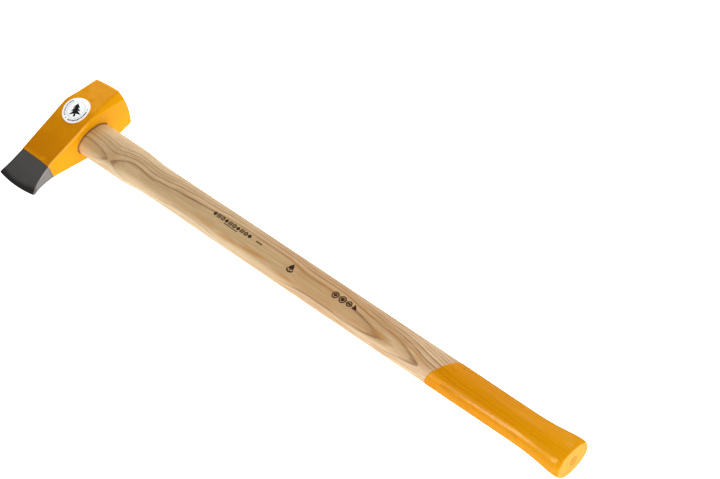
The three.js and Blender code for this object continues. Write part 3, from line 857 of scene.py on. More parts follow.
# ======================================================================================
# materials
# ======================================================================================
class Mat:
    def __init__(self, name):
        self.m = bpy.data.materials.new(name)
        self.m.use_nodes = True
        self.t = self.m.node_tree
        self.t.nodes.clear()
        self.out = self.t.nodes.new("ShaderNodeOutputMaterial")
        self.p = self.t.nodes.new("ShaderNodeBsdfPrincipled")
        self.t.links.new(self.p.outputs[0], self.out.inputs[0])

    def link(self, a, b):
        self.t.links.new(a, b)

    def put(self, socket, v):
        if hasattr(v, "is_output") or isinstance(v, bpy.types.NodeSocket):
            self.t.links.new(v, socket)
        else:
            socket.default_value = v

    def attr(self, name, out="Vector"):
        n = self.t.nodes.new("ShaderNodeAttribute")
        n.attribute_name = name
        return n.outputs[out]

    def math(self, op, a, b=None, c=None, clamp=False):
        n = self.t.nodes.new("ShaderNodeMath")
        n.operation, n.use_clamp = op, clamp
        self.put(n.inputs[0], a)
        if b is not None:
            self.put(n.inputs[1], b)
        if c is not None:
            self.put(n.inputs[2], c)
        return n.outputs[0]

    def vec(self, op, a, b=None):
        n = self.t.nodes.new("ShaderNodeVectorMath")
        n.operation = op
        self.put(n.inputs[0], a)
        if b is not None:
            self.put(n.inputs[1], b)
        return n.outputs[0]

    def xyz(self, v):
        n = self.t.nodes.new("ShaderNodeSeparateXYZ")
        self.put(n.inputs[0], v)
        return n.outputs

    def combine(self, x, y, z):
        n = self.t.nodes.new("ShaderNodeCombineXYZ")
        for s, v in zip(n.inputs, (x, y, z)):
            self.put(s, v)
        return n.outputs[0]

    def noise(self, vec, scale=1.0, detail=2.0, rough=0.5, dist=0.0, dims="3D", out=0):
        n = self.t.nodes.new("ShaderNodeTexNoise")
        n.noise_dimensions = dims
        if dims == "1D":
            self.put(n.inputs["W"], vec)
        else:
            self.put(n.inputs["Vector"], vec)
        n.inputs["Scale"].default_value = scale
        n.inputs["Detail"].default_value = detail
        n.inputs["Roughness"].default_value = rough
        n.inputs["Distortion"].default_value = dist
        return n.outputs[out]

    def voronoi(self, vec, scale=1.0, feature="F1", out="Distance", randomness=1.0):
        n = self.t.nodes.new("ShaderNodeTexVoronoi")
        n.feature = feature
        self.put(n.inputs["Vector"], vec)
        n.inputs["Scale"].default_value = scale
        n.inputs["Randomness"].default_value = randomness
        return n.outputs[out]

    def white(self, w):
        n = self.t.nodes.new("ShaderNodeTexWhiteNoise")
        n.noise_dimensions = "1D"
        self.put(n.inputs["W"], w)
        return n.outputs["Value"]

    def ramp(self, fac, stops, interp="LINEAR"):
        n = self.t.nodes.new("ShaderNodeValToRGB")
        n.color_ramp.interpolation = interp
        el = n.color_ramp.elements
        while len(el) > 1:
            el.remove(el[-1])
        for i, (pos, col) in enumerate(stops):
            e = el[0] if i == 0 else el.new(pos)
            e.position = pos
            col = (col, col, col) if not hasattr(col, "__len__") else col
            e.color = (*col, 1.0)
        self.put(n.inputs[0], fac)
        return n.outputs[0]

    def mix(self, fac, a, b, mode="MIX"):
        n = self.t.nodes.new("ShaderNodeMix")
        n.data_type, n.blend_type = "RGBA", mode
        n.clamp_factor = True
        self.put(n.inputs[0], fac)
        for s, v in ((n.inputs[6], a), (n.inputs[7], b)):
            if isinstance(v, tuple) and len(v) == 3:
                v = (*v, 1.0)
            self.put(s, v)
        return n.outputs[2]

    def remap(self, v, a, b, c=0.0, d=1.0):
        n = self.t.nodes.new("ShaderNodeMapRange")
        n.clamp = True
        self.put(n.inputs[0], v)
        for s, w in zip(n.inputs[1:5], (a, b, c, d)):
            s.default_value = w
        return n.outputs[0]

    def bump(self, height, strength, distance, normal=None):
        n = self.t.nodes.new("ShaderNodeBump")
        n.inputs["Strength"].default_value = strength
        n.inputs["Distance"].default_value = distance
        self.put(n.inputs["Height"], height)
        if normal is not None:
            self.put(n.inputs["Normal"], normal)
        return n.outputs[0]

    def set(self, **kw):
        for k, v in kw.items():
            if isinstance(v, tuple) and len(v) == 3:
                v = (*v, 1.0)
            self.put(self.p.inputs[k.replace("_", " ")], v)
        return self.m


def head_paint():
    m = Mat("amber_enamel")
    p = m.attr("tool")
    big = m.noise(p, 0.045, 3, 0.5)
    fine = m.noise(p, 0.9, 3, 0.55)
    # the coat is a little thinner and lighter on rises, deeper in hollows
    col = m.mix(m.remap(big, 0.35, 0.65), (0.735, 0.284, 0.0010), (0.790, 0.314, 0.0016))
    col = m.mix(m.math("MULTIPLY", m.remap(fine, 0.55, 0.75), 0.10), col, (0.87, 0.37, 0.004))
    # painted shade: on the cheeks the colour darkens towards the bit
    x, y, z = m.xyz(p)[:3]
    low = m.math("MULTIPLY", m.attr("cheek", "Fac"), m.remap(m.math("ADD", y, m.math("MULTIPLY", m.math("SUBTRACT", big, 0.5), 40.0)), 12.0, -58.0))
    col = m.mix(m.math("MULTIPLY", low, 0.90), col, (0.575, 0.196, 0.0010))
    # painted light: the faces off the cheeks are lighter and yellower than the cheeks
    side = m.math("SUBTRACT", 1.0, m.attr("cheek", "Fac"))
    col = m.mix(m.math("MULTIPLY", side, 0.60), col, (0.770, 0.345, 0.0008))
    # painted highlight: a pale peach line along the narrow flat beside the badge cheek
    col = m.mix(m.math("MULTIPLY", m.attr("rim", "Fac"), 0.75), col, (1.0, 0.450, 0.060))
    # painted shade: a darker, broken line along the upper border of the corner flat beside the badge cheek
    worn = m.math("MULTIPLY", m.attr("crease_shade", "Fac"), m.remap(m.noise(p, 0.30, 3, 0.65), 0.42, 0.62, 0.15, 1.0))
    col = m.mix(m.math("MULTIPLY", worn, 0.60), col, (0.560, 0.190, 0.0020))
    specks = m.remap(m.voronoi(p, 0.35), 0.05, 0.02)
    keep = m.remap(m.noise(p, 0.11, 1, 0.5), 0.58, 0.66)
    sp = m.math("MULTIPLY", specks, keep)
    col = m.mix(m.math("MULTIPLY", sp, 0.55), col, (0.34, 0.10, 0.004))
    peel = m.noise(p, 0.62, 2, 0.5)
    scale = m.noise(p, 0.16, 2, 0.55)
    h = m.math("ADD", m.math("MULTIPLY", peel, 0.35), m.math("MULTIPLY", scale, 0.65))
    h = m.math("SUBTRACT", h, m.math("MULTIPLY", sp, 0.6))
    nrm = m.bump(h, 0.32, 0.00055)
    rough = m.remap(m.noise(p, 0.2, 2, 0.5), 0.3, 0.7, 0.30, 0.42)
    return m.set(Base_Color=col, Roughness=rough, Normal=nrm, Coat_Weight=0.06, Coat_Roughness=0.16, Specular_IOR_Level=0.38, Specular_Tint=(1.0, 0.62, 0.12))


def ground_steel():
    m = Mat("ground_steel")
    p = m.attr("tool")
    x, y, z = m.xyz(p)[:3]
    # belt lines run up from the cutting edge, slightly slanting
    u = m.math("ADD", x, m.math("MULTIPLY", y, 0.10))
    lines = m.noise(m.combine(u, m.math("MULTIPLY", y, 0.035), z), 3.2, 4, 0.65)
    lines2 = m.noise(m.combine(u, m.math("MULTIPLY", y, 0.02), z), 0.9, 2, 0.6)
    cloud = m.noise(p, 0.06, 3, 0.55)
    col = m.mix(m.remap(lines, 0.3, 0.7), (0.112, 0.105, 0.101), (0.175, 0.165, 0.159))
    col = m.mix(m.math("MULTIPLY", m.remap(cloud, 0.35, 0.7), 0.45), col, (0.130, 0.127, 0.128))
    # darker, burnished strip along the cutting edge
    bow = m.math("MULTIPLY", m.math("POWER", m.math("DIVIDE", m.math("SUBTRACT", x, EDGE_MID), EDGE_HALF), 2.0), CROWN)
    run = m.math("SUBTRACT", m.math("SUBTRACT", y, EDGE_Y), bow)
    run = m.math("SUBTRACT", run, m.math("MULTIPLY", m.remap(x, 10.0, 34.0), 2.6))
    run = m.math("ADD", run, m.math("MULTIPLY", m.math("SUBTRACT", cloud, 0.5), 4.0))
    edge = m.remap(run, 2.8, 9.5, 1.0, 0.0)
    col = m.mix(m.math("MULTIPLY", edge, 0.95), col, (0.012, 0.0115, 0.0115))
    col = m.mix(m.math("MULTIPLY", m.remap(run, 30.0, 6.0), 0.30), col, (0.075, 0.066, 0.062))
    # painted reflection: the narrow sides get a lighter, less metallic colour in place of a reflection of the bright
    # surroundings
    side = m.math("SUBTRACT", 1.0, m.attr("cheek", "Fac"))
    pale = m.mix(m.remap(lines, 0.3, 0.7), (0.255, 0.236, 0.230), (0.345, 0.322, 0.315))
    col = m.mix(side, col, m.mix(m.math("MULTIPLY", edge, 0.55), pale, (0.04, 0.04, 0.04)))
    # the grinding fades out just short of the paint
    fade = m.remap(y, -79.5, -76.5)
    col = m.mix(m.math("MULTIPLY", fade, 0.45), col, (0.155, 0.140, 0.135))
    h = m.math("ADD", m.math("MULTIPLY", lines, 0.6), m.math("MULTIPLY", lines2, 0.4))
    nrm = m.bump(h, 0.40, 0.00014)
    rough = m.remap(lines2, 0.3, 0.7, 0.30, 0.44)
    return m.set(Base_Color=col, Metallic=m.remap(side, 0.0, 1.0, 0.5, 0.25), Roughness=rough, Normal=nrm, Coat_Weight=0.1, Coat_Roughness=0.25)


def wood_parts(m):
    """Shared growth-ring reading: returns (ring darkness, fibre noise, pores, per-ring random, streak)."""
    g = m.attr("grain")
    gx, gd, gs = m.xyz(g)[:3]
    u = m.attr("rings", "Fac")
    wig = m.noise(m.combine(m.math("MULTIPLY", gx, 0.012), m.math("MULTIPLY", gd, 0.25), m.math("MULTIPLY", gs, 0.25)), 1.0, 2, 0.5)
    u2 = m.math("ADD", u, m.math("MULTIPLY", m.math("SUBTRACT", wig, 0.5), 0.10))
    f = m.math("FRACT", u2)
    k = m.math("FLOOR", u2)
    rnd = m.white(m.math("ADD", k, 0.37))
    n = len(RINGS)
    wide = [RINGS[i + 1] - RINGS[i] for i in range(n - 1)] + [4.0]
    table = m.xyz(m.ramp(m.math("DIVIDE", m.math("ADD", k, 0.5), float(n)), [(i / n, (DARK[i], wide[i] / 10.0, 0.0)) for i in range(n)], "CONSTANT"))
    past = m.math("MULTIPLY", m.math("MULTIPLY", f, table[1]), 10.0)
    before = m.math("MULTIPLY", m.math("MULTIPLY", m.math("SUBTRACT", 1.0, f), table[1]), 10.0)
    # dark porous line at the start of each year, fading into the lighter summer wood
    line = m.ramp(m.math("DIVIDE", past, 6.0), [(0.0, 0.90), (0.045, 1.0), (0.11, 0.80), (0.18, 0.34), (0.30, 0.11), (0.55, 0.03), (1.0, 0.0)], "EASE")
    patchy = m.noise(m.combine(m.math("MULTIPLY", gx, 0.03), m.math("MULTIPLY", gd, 0.3), m.math("MULTIPLY", gs, 0.3)), 1.0, 2, 0.5)
    line = m.math("MULTIPLY", m.math("MULTIPLY", line, table[0]), m.remap(patchy, 0.30, 0.62, 0.62, 1.0))
    late = m.remap(before, 0.0, 1.3, 0.30, 0.0)
    line = m.math("MAXIMUM", line, m.math("MULTIPLY", late, table[0]))
    line = m.math("MULTIPLY", line, m.remap(gx, 45.0, 150.0, 0.62, 1.0))
    # painted light: the ring lines fade on the narrow edges of the stick
    line = m.math("MULTIPLY", line, m.remap(m.attr("edge_light", "Fac"), 0.62, 0.95, 1.0, 0.50))
    halo = m.remap(past, 0.5, 5.0, 1.0, 0.0)
    fib = m.noise(m.combine(m.math("MULTIPLY", gx, 0.035), gd, gs), 1.7, 4, 0.62)
    fine = m.noise(m.combine(m.math("MULTIPLY", gx, 0.05), gd, gs), 6.0, 3, 0.6)
    band = m.noise(m.combine(m.math("MULTIPLY", gx, 0.016), gd, gs), 0.62, 3, 0.6)
    vs = m.combine(m.math("MULTIPLY", gx, 0.09), m.math("MULTIPLY", gd, 2.1), m.math("MULTIPLY", gs, 2.1))
    pore = m.remap(m.voronoi(vs, 1.0), 0.20, 0.08)
    inearly = m.ramp(m.math("DIVIDE", past, 6.0), [(0.0, 0.7), (0.04, 1.0), (0.20, 0.60), (0.36, 0.14), (1.0, 0.06)])
    pore = m.math("MULTIPLY", pore, inearly)
    return dict(g=g, gx=gx, gd=gd, gs=gs, f=f, rnd=rnd, line=line, fib=fib, fine=fine, pore=pore, band=band, halo=halo, patchy=patchy, streak=m.attr("streak", "Fac"))


def ash():
    m = Mat("ash_wood")
    w = wood_parts(m)
    p = m.attr("tool")
    col = m.mix(m.remap(w["fib"], 0.30, 0.70), (0.545, 0.375, 0.188), (0.650, 0.476, 0.272))
    slow = m.noise(m.combine(m.math("MULTIPLY", w["gx"], 0.010), m.math("MULTIPLY", w["gd"], 0.10), m.math("MULTIPLY", w["gs"], 0.10)), 1.0, 2, 0.5)
    col = m.mix(m.math("MULTIPLY", m.remap(slow, 0.38, 0.66), 0.45), col, (0.530, 0.354, 0.158))
    col = m.mix(m.math("MULTIPLY", w["rnd"], 0.18), col, (0.51, 0.326, 0.158))
    col = m.mix(m.math("MULTIPLY", m.remap(w["band"], 0.50, 0.68), 0.46), col, (0.435, 0.268, 0.120))
    col = m.mix(m.math("MULTIPLY", m.remap(w["band"], 0.47, 0.34), 0.50), col, (0.780, 0.610, 0.375))
    col = m.mix(m.remap(w["gx"], 200.0, 60.0, 0.0, 0.22), col, (0.740, 0.555, 0.320))
    col = m.mix(m.remap(w["gx"], 575.0, 640.0, 0.0, 0.50), col, (0.900, 0.730, 0.490))
    # painted light: the narrow edges of the stick are painted paler
    pale = m.math("MULTIPLY", m.attr("edge_light", "Fac"), m.remap(w["fib"], 0.25, 0.75, 0.40, 0.75))
    col = m.mix(pale, col, (0.800, 0.650, 0.425))
    mid = m.math("MULTIPLY", m.remap(w["gx"], 280.0, 380.0), m.remap(w["gx"], 560.0, 470.0))
    col = m.mix(m.math("MULTIPLY", mid, 0.28), col, (0.470, 0.270, 0.105))
    # painted light: the wood near the eye is warmed and lightened as by orange light bounced off the head
    col = m.mix(m.remap(w["gx"], 66.0, 30.0, 0.0, 0.45), col, (0.680, 0.415, 0.140))
    # reddish tinge beside the ring borders, stronger in the lower half of the stick
    warm = m.math("MULTIPLY", w["halo"], m.remap(w["gx"], 330.0, 480.0, 0.16, 0.62))
    col = m.mix(m.math("MULTIPLY", warm, m.remap(w["patchy"], 0.35, 0.65, 0.3, 1.0)), col, (0.600, 0.280, 0.110))
    col = m.mix(m.math("MULTIPLY", w["line"], 0.96), col, (0.200, 0.086, 0.030))
    col = m.mix(m.math("MULTIPLY", w["streak"], 0.92), col, (0.500, 0.238, 0.062))
    col = m.mix(m.math("MULTIPLY", m.remap(w["fine"], 0.52, 0.72), 0.22), col, (0.38, 0.225, 0.10))
    col = m.mix(m.math("MULTIPLY", w["pore"], 0.55), col, (0.20, 0.105, 0.045))
    # painted shadow: a dark reddish ring in the crevice where the haft enters the eye
    mouth_shadow = m.math("SUBTRACT", 1.0, m.remap(m.math("ABSOLUTE", m.math("SUBTRACT", w["gx"], 27.6)), 0.35, 1.3))
    col = m.mix(m.math("MULTIPLY", mouth_shadow, 0.85), col, (0.190, 0.060, 0.010))
    h = m.math("SUBTRACT", m.math("MULTIPLY", w["fine"], 0.45), m.math("MULTIPLY", w["pore"], 0.9))
    h = m.math("SUBTRACT", h, m.math("MULTIPLY", w["line"], 0.25))
    nrm = m.bump(h, 0.30, 0.00018)
    rough = m.remap(w["fib"], 0.3, 0.7, 0.46, 0.58)
    return m.set(Base_Color=col, Roughness=rough, Normal=nrm, Coat_Weight=0.10, Coat_Roughness=0.35, Specular_IOR_Level=0.35)


def grip_paint():
    m = Mat("grip_enamel")
    w = wood_parts(m)
    p = m.attr("tool")
    x, y, z = m.xyz(p)[:3]
    col = m.mix(m.remap(w["fib"], 0.35, 0.68), (0.672, 0.252, 0.0006), (0.722, 0.280, 0.0010))
    col = m.mix(m.math("MULTIPLY", w["line"], 0.66), col, (0.440, 0.134, 0.0003))
    col = m.mix(m.math("MULTIPLY", m.remap(w["band"], 0.48, 0.70), 0.40), col, (0.530, 0.176, 0.0005))
    col = m.mix(m.math("MULTIPLY", m.remap(w["band"], 0.46, 0.30), 0.35), col, (0.760, 0.312, 0.0030))
    col = m.mix(m.math("MULTIPLY", w["pore"], 0.20), col, (0.42, 0.12, 0.001))
    col = m.mix(m.remap(x, HAFT_END - 130.0, HAFT_END - 20.0, 0.0, 0.55), col, (0.740, 0.320, 0.0010))
    face = m.remap(x, HAFT_END - 1.6, HAFT_END - 0.4)
    # painted sheen: the knob's end face is painted lighter and yellower than the grip
    col = m.mix(m.math("MULTIPLY", face, 0.85), col, m.mix(m.remap(w["fib"], 0.35, 0.7), (0.900, 0.375, 0.050), (0.960, 0.430, 0.080)))
    mark = m.remap(m.math("ABSOLUTE", m.math("SUBTRACT", m.math("SQRT", m.math("ADD", m.math("MULTIPLY", y, y), m.math("MULTIPLY", z, z))), 5.0)), 2.0, 0.6)
    col = m.mix(m.math("MULTIPLY", m.math("MULTIPLY", mark, face), 0.85), col, (0.46, 0.24, 0.045))
    # paint has run a touch thicker at its upper edge and thinner on the rim of the knob
    h = m.math("SUBTRACT", m.math("MULTIPLY", m.noise(m.combine(m.math("MULTIPLY", x, 0.05), y, z), 0.45, 3, 0.55), 1.0), m.math("MULTIPLY", w["line"], 0.45))
    h = m.math("SUBTRACT", h, m.math("MULTIPLY", w["pore"], 0.18))
    nrm = m.bump(h, 0.36, 0.00045)
    rough = m.remap(m.noise(p, 0.12, 2, 0.5), 0.3, 0.7, 0.26, 0.36)
    return m.set(Base_Color=col, Roughness=rough, Normal=nrm, Coat_Weight=0.18, Coat_Roughness=0.15, Specular_IOR_Level=0.40, Specular_Tint=(1.0, 0.62, 0.12))


def wedge_wood():
    m = Mat("wedge_beech")
    p = m.attr("tool")
    x, y, z = m.xyz(p)[:3]
    fib = m.noise(m.combine(m.math("MULTIPLY", x, 0.06), y, z), 1.6, 4, 0.6)
    flecks = m.remap(m.voronoi(m.combine(m.math("MULTIPLY", x, 0.35), m.math("MULTIPLY", y, 0.8), m.math("MULTIPLY", z, 2.2)), 1.0), 0.25, 0.08)
    col = m.mix(m.remap(fib, 0.3, 0.7), (0.33, 0.175, 0.085), (0.47, 0.275, 0.145))
    col = m.mix(m.math("MULTIPLY", flecks, 0.5), col, (0.20, 0.095, 0.045))
    nrm = m.bump(m.math("SUBTRACT", fib, m.math("MULTIPLY", flecks, 0.4)), 0.4, 0.0002)
    return m.set(Base_Color=col, Roughness=m.remap(fib, 0.3, 0.7, 0.62, 0.78), Normal=nrm)


def ring_steel():
    m = Mat("turned_steel")
    p = m.attr("tool")
    x, y, z = m.xyz(p)[:3]
    r = m.math("SQRT", m.math("ADD", m.math("MULTIPLY", y, y), m.math("MULTIPLY", z, z)))
    turn = m.noise(m.combine(m.math("MULTIPLY", x, 1.0), r, 0.0), 3.5, 3, 0.6)
    stain = m.noise(p, 0.35, 3, 0.6)
    col = m.mix(m.remap(turn, 0.3, 0.7), (0.34, 0.33, 0.32), (0.50, 0.49, 0.48))
    col = m.mix(m.math("MULTIPLY", m.remap(stain, 0.52, 0.7), 0.5), col, (0.24, 0.17, 0.12))
    nrm = m.bump(turn, 0.4, 0.00008)
    return m.set(Base_Color=col, Metallic=0.95, Roughness=m.remap(stain, 0.3, 0.7, 0.30, 0.48), Normal=nrm)


def badge_foil():
    m = Mat("badge_foil")
    p = m.attr("tool")
    x, y, z = m.xyz(p)[:3]
    dx, dy = m.math("SUBTRACT", x, float(BADGE[0])), m.math("SUBTRACT", y, float(BADGE[1]))
    r = m.math("SQRT", m.math("ADD", m.math("MULTIPLY", dx, dx), m.math("MULTIPLY", dy, dy)))
    cloud = m.noise(p, 0.12, 3, 0.5)
    col = m.mix(m.remap(cloud, 0.3, 0.7), (0.97, 0.95, 1.0), (1.0, 0.99, 1.0))
    inner = m.remap(r, 12.6, 13.3, 1.0, 0.0)
    col = m.mix(m.math("MULTIPLY", inner, 0.30), col, (0.86, 0.95, 0.90))
    rim = m.remap(r, 19.3, 20.0)
    col = m.mix(m.math("MULTIPLY", rim, 0.45), col, (0.80, 0.76, 0.74))
    nrm = m.bump(m.noise(p, 0.5, 2, 0.5), 0.15, 0.0002)
    # painted glow: a faint bluish-white emission lightens the label
    return m.set(Base_Color=col, Roughness=m.remap(cloud, 0.3, 0.7, 0.26, 0.36), Normal=nrm, Coat_Weight=0.25, Coat_Roughness=0.12, Emission_Color=(0.88, 0.95, 1.0), Emission_Strength=0.16)


def ink(name, dark, worn, amount):
    m = Mat(name)
    p = m.attr("tool")
    n = m.noise(p, 3.0, 3, 0.6)
    streak = m.noise(m.vec("MULTIPLY", p, (0.15, 1.6, 1.6)), 1.6, 3, 0.6)
    k = m.math("MULTIPLY", m.remap(m.math("ADD", m.math("MULTIPLY", n, 0.5), m.math("MULTIPLY", streak, 0.5)), 0.46, 0.66), amount)
    col = m.mix(k, dark, worn)
    nrm = m.bump(streak, 0.2, 0.0001)
    return m.set(Base_Color=col, Roughness=m.remap(n, 0.3, 0.7, 0.55, 0.7), Normal=nrm, Specular_IOR_Level=0.15)


# ======================================================================================
# the pieces
# ======================================================================================
MATS = dict(paint=head_paint(), steel=ground_steel(), ash=ash(), grip=grip_paint(), wedge=wedge_wood(),
            ring=ring_steel(), foil=badge_foil(), ink=ink("print_ink", (0.022, 0.010, 0.005), (0.17, 0.10, 0.050), 0.35),
            badge_ink=ink("badge_ink", (0.012, 0.008, 0.012), (0.06, 0.05, 0.06), 0.3),
            ring_ink=ink("badge_ring_ink", (0.30, 0.33, 0.34), (0.50, 0.52, 0.52), 0.4))

# head
P, F, M = build_head()
head = new_object("maul_head", new_mesh("maul_head", P, F, M))
clean(head.data, 1e-4)
cp, cf = build_eye_cutter()
cut = new_object("eye_cut", new_mesh("eye_cut", cp, cf))
clean(cut.data, 1e-5)
head.data.materials.append(MATS["paint"])
head.data.materials.append(MATS["steel"])
boolean(head, cut)
clean(head.data, 1e-4)
finish_mesh(head, 34, dict(rim=ridge_highlight_line, crease_shade=crease_shade_line, cheek=cheek_side))

# haft
P, F, M = build_haft()
haft = new_object("haft", new_mesh("haft", P, F, M))
clean(haft.data, 1e-4)
haft.data.materials.append(MATS["ash"])
haft.data.materials.append(MATS["grip"])
g = 0.12
slope = (W_TOP - W_TIP) / WEDGE_DEPTH
kp, kf = slab(HAFT_TOP - 3, HAFT_TOP + KERF_DEPTH, W_TOP / 2 + g + slope * 3 / 2, W_TOP / 2 + g - slope * KERF_DEPTH / 2)
kerf = new_object("kerf_cut", new_mesh("kerf_cut", kp, kf))
clean(kerf.data)
boolean(haft, kerf)
lp, lf = lathe(ring_profile(g, 3.0), 96, HAFT_TOP)
groove = new_object("groove_cut", new_mesh("groove_cut", lp, lf))
clean(groove.data)
boolean(haft, groove)
clean(haft.data, 1e-4)
GRAIN = dict(grain=grain_vec, rings=ring_count, streak=streaks, edge_light=painted_edge_light)
finish_mesh(haft, 40, GRAIN)

# wood wedge: its long edges follow the eye, its top is sawn off with the tenon
rows = []
for d in [0.0, 0.15, 0.4] + list(np.linspace(1.2, WEDGE_DEPTH - 0.5, 14)) + [WEDGE_DEPTH - 0.15, WEDGE_DEPTH]:
    x = HAFT_TOP + d
    a, b = haft_axes(np.array([x]))
    c = 0.35 * (1 - smooth(d / 0.5)) + 0.3 * smooth((d - WEDGE_DEPTH + 0.6) / 0.6)
    hz = (W_TOP - slope * d) / 2 - c * 0.5
    hy = float(a[0]) - 0.25 - c - (0.75 * (1 - smooth(d / 0.9)) if d < 0.9 else 0)
    r = min(0.5, hz * 0.6)
    pts = []
    for cx_, cy_, a0 in ((hy - r, hz - r, 0), (-(hy - r), hz - r, 90), (-(hy - r), -(hz - r), 180), (hy - r, -(hz - r), 270)):
        for k in range(5):
            t = math.radians(a0 + 90 * k / 4)
            pts.append((cx_ + r * math.cos(t), cy_ + r * math.sin(t)))
        if a0 in (0, 180):
            nx = (-(hy - r), hz) if a0 == 0 else (hy - r, -hz)
            last = pts[-1]
            pts += [(last[0] + (nx[0] - last[0]) * k / 16, last[1]) for k in range(1, 16)]
    rows.append([(x, q[0], q[1]) for q in pts])
n = len(rows[0])
WP = np.array(rows).reshape(-1, 3)
WF = [tuple(f) for f in ring_faces(len(rows), n)] + [tuple(range(n)), tuple(reversed(range(len(WP) - n, len(WP))))]
wedge = new_object("wood_wedge_piece", new_mesh("wood_wedge_piece", WP, WF))
clean(wedge.data, 1e-5)
lp, lf = lathe(ring_profile(g, 3.0), 96, HAFT_TOP)
groove = new_object("groove_cut", new_mesh("groove_cut", lp, lf))
clean(groove.data)
wedge.data.materials.append(MATS["wedge"])
boolean(wedge, groove)
clean(wedge.data, 1e-5)
finish_mesh(wedge, 35)

# ring wedge, with a rolled top edge
mid_r = RING_R - RING_TOP / 2
prof = [(0.35 - 0.5 * math.sin(math.pi * k / 8), mid_r - RING_TOP / 2 * math.cos(math.pi * k / 8)) for k in range(9)]
down = [(d, mid_r + (RING_TOP - (RING_TOP - RING_TIP) * d / RING_DEPTH) / 2) for d in np.linspace(2, RING_DEPTH - 0.3, 8)]
up = [(d, mid_r - (RING_TOP - (RING_TOP - RING_TIP) * d / RING_DEPTH) / 2) for d in np.linspace(RING_DEPTH - 0.3, 2, 8)]
tip = [(RING_DEPTH, mid_r + 0.2), (RING_DEPTH, mid_r - 0.2)]
rp_, rf_ = lathe(prof + down + tip + up, 128, HAFT_TOP)
ringw = new_object("ring_wedge_piece", new_mesh("ring_wedge_piece", rp_, rf_))
clean(ringw.data, 1e-5)
ringw.data.materials.append(MATS["ring"])
finish_mesh(ringw, 40)

# badge
bp_, bf_ = build_badge()
badge = new_object("badge", new_mesh("badge", bp_, bf_))
clean(badge.data, 1e-5)
badge.data.materials.append(MATS["foil"])
finish_mesh(badge, 40)
rm, mm = build_badge_marks()
badge_ring = new_object("badge_ring", rm)
badge_ring.data.materials.append(MATS["ring_ink"])
finish_mesh(badge_ring, 40)
badge_marks = new_object("badge_marks", mm)
badge_marks.data.materials.append(MATS["badge_ink"])
finish_mesh(badge_marks, 40)

# printed marks on the haft
marks = new_object("haft_marks", build_haft_marks())
marks.data.materials.append(MATS["ink"])
finish_mesh(marks, 40)

for ob, node, slot in ((head, "head", "head_paint"), (haft, "handle", "ash_wood"), (wedge, "wood_wedge", "wedge_wood"),
                       (ringw, "ring_wedge", "ring_steel"), (badge, "label", "badge_foil")):
    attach(ob, "root")
    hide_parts(node)
for ob, slot in ((badge_ring, "badge_foil"), (badge_marks, "badge_foil"), (marks, "ash_wood")):
    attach(ob, "root")

# ======================================================================================
# floor, light, camera
# ======================================================================================
fl = Mat("floor_white")
fl.set(Base_Color=(0.86, 0.86, 0.86), Roughness=0.9, Emission_Color=(1.0, 1.0, 1.0), Emission_Strength=1.42, Specular_IOR_Level=0.1)
fme = new_mesh("floor", [(-30, -30, 0), (30, -30, 0), (30, 30, 0), (-30, 30, 0)], [(0, 1, 2, 3)])
floor = new_object("floor", fme)
floor.data.materials.append(fl.m)
floor.location.z = -0.0002
floor.visible_glossy = False

world = bpy.data.worlds.new("studio")
bpy.context.scene.world = world
world.use_nodes = True
wt = world.node_tree
wt.nodes.clear()
wo = wt.nodes.new("ShaderNodeOutputWorld")
bg = wt.nodes.new("ShaderNodeBackground")
tc = wt.nodes.new("ShaderNodeTexCoord")
sx = wt.nodes.new("ShaderNodeSeparateXYZ")
wt.links.new(tc.outputs["Generated"], sx.inputs[0])


def wmath(op, a, b=None, clamp=False):
    n = wt.nodes.new("ShaderNodeMath")
    n.operation, n.use_clamp = op, clamp
    for s, v in zip(n.inputs, (a, b)):
        if v is None:
            continue
        if isinstance(v, bpy.types.NodeSocket):
            wt.links.new(v, s)
        else:
            s.default_value = v
    return n.outputs[0]


def lobe(d, power, k):
    """A soft brighter region of the surroundings towards direction d."""
    d = Vector(d).normalized()
    dot = wmath("ADD", wmath("ADD", wmath("MULTIPLY", sx.outputs[0], d.x), wmath("MULTIPLY", sx.outputs[1], d.y)), wmath("MULTIPLY", sx.outputs[2], d.z))
    return wmath("MULTIPLY", wmath("POWER", wmath("MAXIMUM", dot, 0.0), power), k)


tot = wmath("ADD", lobe((-0.55, -0.80, 0.10), 5.0, 0.34), lobe((0.0, -0.97, 0.26), 4.0, 0.19))
tot = wmath("ADD", tot, 0.05)
wt.links.new(tot, bg.inputs["Strength"])
bg.inputs["Color"].default_value = (1.0, 0.995, 0.985, 1.0)
wt.links.new(bg.outputs[0], wo.inputs[0])


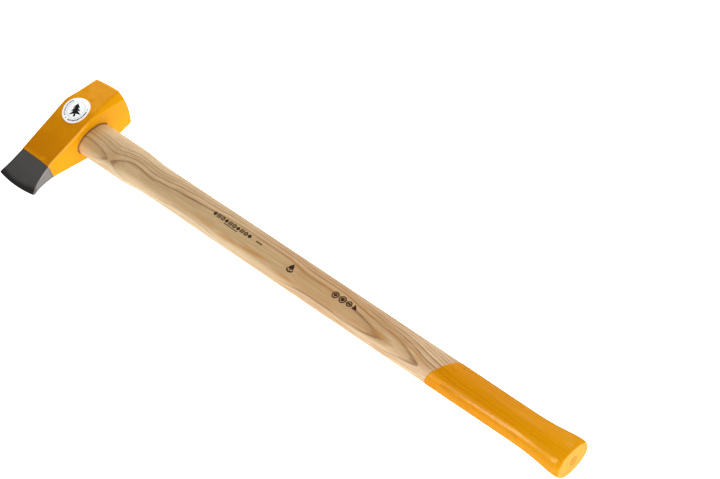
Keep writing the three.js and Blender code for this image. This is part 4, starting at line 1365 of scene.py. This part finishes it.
def area(name, loc, target, sx_, sy_, power, color=(1, 1, 1)):
    li = bpy.data.lights.new(name, "AREA")
    li.shape, li.size, li.size_y, li.energy, li.color = "RECTANGLE", sx_, sy_, power, color
    ob = bpy.data.objects.new(name, li)
    ob.location = loc
    d = Vector(target) - Vector(loc)
    ob.rotation_euler = d.to_track_quat("-Z", "Y").to_euler()
    bpy.context.scene.collection.objects.link(ob)
    return ob


rear = area("back_left_box", (-0.75, 1.15, 0.72), (-0.35, 0.0, 0.03), 1.5, 0.9, 23.0)
rear.visible_glossy = False
area("cheek_box", (-1.02, 0.55, 0.95), (-0.42, 0.0, 0.04), 0.55, 0.55, 2.3)
area("right_box", (1.42, -0.05, 0.95), (0.0, 0.0, 0.03), 1.5, 0.7, 19.0)
area("top_fill", (-0.1, 0.7, 1.5), (-0.2, 0.0, 0.0), 0.6, 0.6, 2.4)
area("grip_box", (-0.14, -0.98, 0.70), (0.35, 0.0, 0.03), 0.20, 0.46, 4.6)

# camera: rotation vector and translation of the tool frame (x right, y down, z forward)
RV = np.array([2.366197752359354, 0.8653862117805438, -0.4888987979674603])
TV = np.array([-381.2027025919723, -149.82092088177183, 2994.4555768387854])
ang = float(np.linalg.norm(RV))
kx, ky, kz = RV / ang
K = np.array([[0, -kz, ky], [kz, 0, -kx], [-ky, kx, 0]])
RC = np.eye(3) + math.sin(ang) * K + (1 - math.cos(ang)) * (K @ K)
cam_tool = -RC.T @ TV
cam_row = to_row(cam_tool[None])[0]
RW = RC @ LAY.T                      # row frame to camera axes
cd = bpy.data.cameras.new("camera")
cd.sensor_width, cd.sensor_fit, cd.lens = 36.0, "HORIZONTAL", 110.0
cd.clip_start, cd.clip_end = 0.05, 200.0
cam = bpy.data.objects.new("camera", cd)
bpy.context.scene.collection.objects.link(cam)
mw = Matrix.Identity(4)
for i in range(3):
    mw[i][0], mw[i][1], mw[i][2], mw[i][3] = RW[0][i], -RW[1][i], -RW[2][i], cam_row[i]
cam.matrix_world = mw
bpy.context.scene.camera = cam
bpy.context.scene.view_settings.view_transform = "Standard"

bpy.context.view_layer.update()
